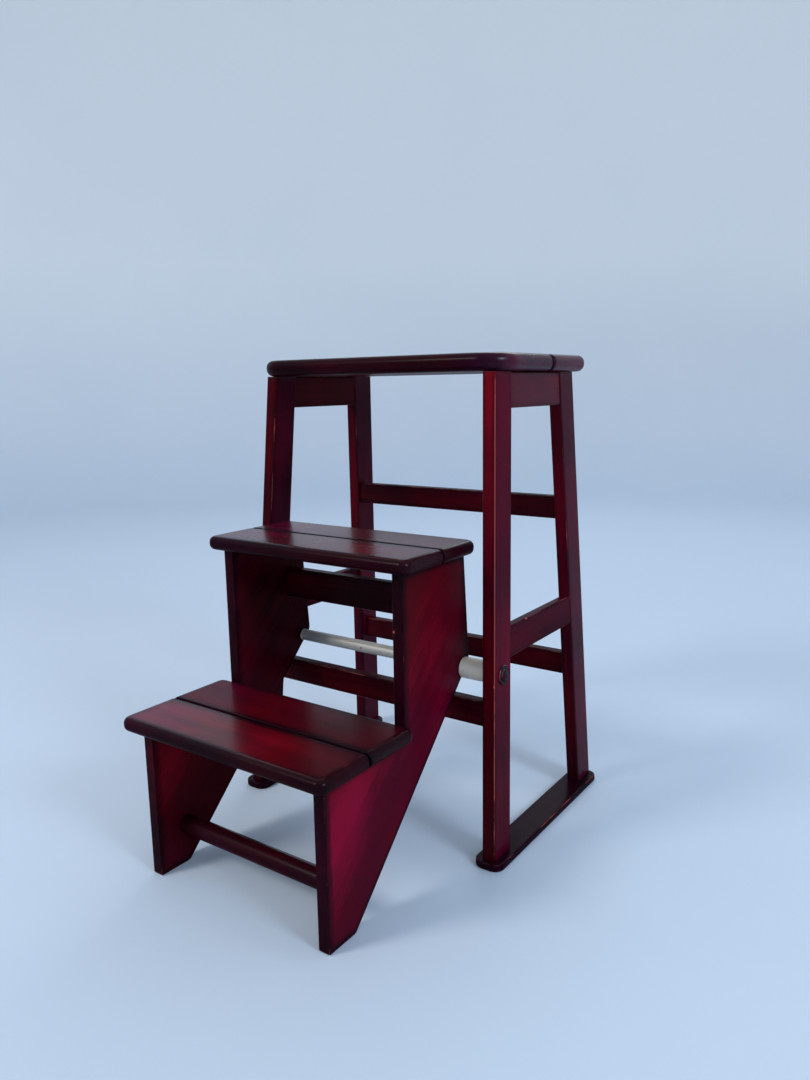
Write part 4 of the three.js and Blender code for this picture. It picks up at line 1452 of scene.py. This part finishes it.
def foot_bar():
    low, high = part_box("step_foot_bar")
    place = (0, (low.y + high.y) / 2, (low.z + high.z) / 2)
    mesh = sliced(cylinder((high.z - low.z) / 2, low.x, high.x, "X", place, FOOT_BAR_SIDES), "X")
    return dressed(
        "foot_bar", mesh, "step_unit", "step_foot_bar", GRAIN["X"], round_faces, FOOT_BAR_LOOK)


print("foot bar", len(foot_bar().data.vertices), "points")

# %% [markdown]
# The buttons over the pivot are turned on a lathe: a rounded rim, a fine groove and a low dome. A
# button could be stacked from cylinders and a sphere, but one profile spun round an axis gives it
# closed, as the lathe does.

# %% Buttons
BUTTON_LOOK = Look(tone=0.26, dark=0.8, rim=0.003, wear=0, cool=0.6, shine=3, side=0.25)
# The paler crescent on the upper front of each button's rim is a painted highlight.
BUTTON_PAINTED_HIGHLIGHT = 0.55
BUTTON_RIM = 0.0022
BUTTON_GROOVE = 0.0005
GROOVE_SHARE = 0.74
DOME_SHARE = 0.66
BUTTON_FOOT = 0.0006
BUTTON_SIDES = 72
RIM_ARC = 6
DOME_ARC = 12
TENON_DEPTH = 0.0012
NUT_POCKET = 0.0092


def button_profile(radius, reach):
    """From the foot in its pocket, over the rim and the groove, to the middle of the dome."""
    rim = [(radius - BUTTON_RIM * (1 - c), BUTTON_RIM * s) for s, c in quarter(RIM_ARC)]
    start = BUTTON_RIM - BUTTON_GROOVE
    dome = [(radius * DOME_SHARE * c, start + (reach - start) * s) for s, c in quarter(DOME_ARC)]
    return [
        (0, -TENON_DEPTH),
        (NUT_POCKET, -TENON_DEPTH),
        (NUT_POCKET, JOINT_GAP),
        (radius - BUTTON_FOOT, JOINT_GAP),
        *((r, max(h, BUTTON_FOOT)) for r, h in rim),
        (radius * GROOVE_SHARE, BUTTON_RIM),
        *dome[:-1],
        (0, reach),
    ]


def button(side, side_name):
    """A button, its axis square to the leaning face of the leg."""
    node = f"leg_button_{side_name}"
    low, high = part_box(node)
    radius = (high.y - low.y) / 2
    slope = (leg_outer(front_low.z) - leg_outer(front_high.z)) / (front_high.z - front_low.z)
    base = Vector((side * leg_outer(pivot.z), pivot.y, pivot.z))
    axis = Vector((side, 0, slope)).normalized()
    reach = max(abs(low.x), abs(high.x)) - abs(base.x)
    mesh = lathed(button_profile(radius, reach), BUTTON_SIDES)
    bmesh.ops.remove_doubles(mesh, verts=mesh.verts, dist=ON_PLANE)
    turn = Vector((0, 0, 1)).rotation_difference(axis).to_matrix().to_4x4()
    bmesh.ops.transform(mesh, matrix=Matrix.Translation(base) @ turn, verts=mesh.verts)

    def wear(places):
        """A painted highlight towards its front and its top, drawn as a paler rim."""
        ahead = pivot.y - places[:, 1]
        above = places[:, 2] - pivot.z
        return soft((ahead + above) / radius, 0, BUTTON_PAINTED_HIGHLIGHT)

    look = BUTTON_LOOK._replace(wear=wear)
    return dressed(
        f"pivot_button_{side_name}", mesh, "seat_frame", node, GRAIN["Z"], board_faces("X"), look)


for side, side_name in SIDES:
    print("button", side_name, len(button(side, side_name).data.vertices), "points")

# %% [markdown]
# The tube is a real pipe with a wall and a drilled hole, and the spacers are fat rings with eased
# rims. They could stay as the CAD has them, but their highlights need finer sides. Each is a
# closed profile of its wall, spun round its own middle and laid along the pivot.

# %% Tube and spacers
TUBE_WALL = 0.0015
TUBE_SIDES = 72
MARK_RADIUS = 0.0014
MARK_PLACE = -0.017
SPACER_EASE = 0.0007
SPACER_ARC = 4
SPACER_BORE_GAP = 0.0003


def metal_piece(name, mesh, material, node):
    bmesh.ops.recalc_face_normals(mesh, faces=mesh.faces)
    piece = made(name, mesh, material)
    piece.data.set_sharp_from_angle(angle=SHARP_ANGLE)
    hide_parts(node)
    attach(piece, "seat_frame")
    return piece


def pipe(profile, start):
    """A closed profile spun into a pipe along the pivot's line, from a place on X."""
    mesh = lathed(profile, TUBE_SIDES, closed=True)
    turn = Euler((0, math.pi / 2, 0)).to_matrix().to_4x4()
    place = Matrix.Translation((start, pivot.y, pivot.z))
    bmesh.ops.transform(mesh, matrix=place @ turn, verts=mesh.verts)
    return mesh


def tube():
    inner = tube_radius - TUBE_WALL
    length = tube_high.x - tube_low.x
    mesh = pipe([(inner, 0), (tube_radius, 0), (tube_radius, length), (inner, length)], tube_low.x)
    mark_line = (MARK_PLACE, pivot.y, pivot.z)
    mark = cylinder(MARK_RADIUS, -2 * tube_radius, 0, "Y", mark_line, HOLE_SIDES)
    return metal_piece("cross_tube", drilled(mesh, [mark]), DRAWN_TUBE, "pivot_tube")


def spacer(side_name):
    node = f"spacer_{side_name}"
    low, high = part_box(node)
    radius = (high.z - low.z) / 2
    length = high.x - low.x
    bore = tube_radius + SPACER_BORE_GAP
    ease = [(radius - SPACER_EASE * (1 - s), SPACER_EASE * (1 - c)) for s, c in quarter(SPACER_ARC)]
    far_ease = [(r, length - h) for r, h in reversed(ease)]
    mesh = pipe([(bore, 0), *ease, *far_ease, (bore, length)], low.x)
    return metal_piece(f"tube_spacer_{side_name}", mesh, SPACER_SKIN, node)


print("tube:", len(tube().data.polygons), "faces")
for _, side_name in SIDES:
    print("spacer", side_name, len(spacer(side_name).data.polygons), "faces")

# %% [markdown]
# What is left are pieces inside the wood, which a buyer never sees: dowels, and the rod with its
# nuts and washers. They could be made finer too, but nothing would show. They stay as the CAD has
# them, in their own finish.

# %% Hidden pieces
HIDDEN = {"dowel": BEECH, "washer": ZINC, "nut": ZINC, "rod": ZINC}
dressed_nodes = 0
for node_name, node in frame["nodes"].items():
    for word, material in HIDDEN.items():
        if word in node_name:
            node.data.materials.clear()
            node.data.materials.append(material)
            dressed_nodes += 1
print("hidden pieces:", dressed_nodes, "wooden pieces made:", len(pieces_made))

# %% [markdown]
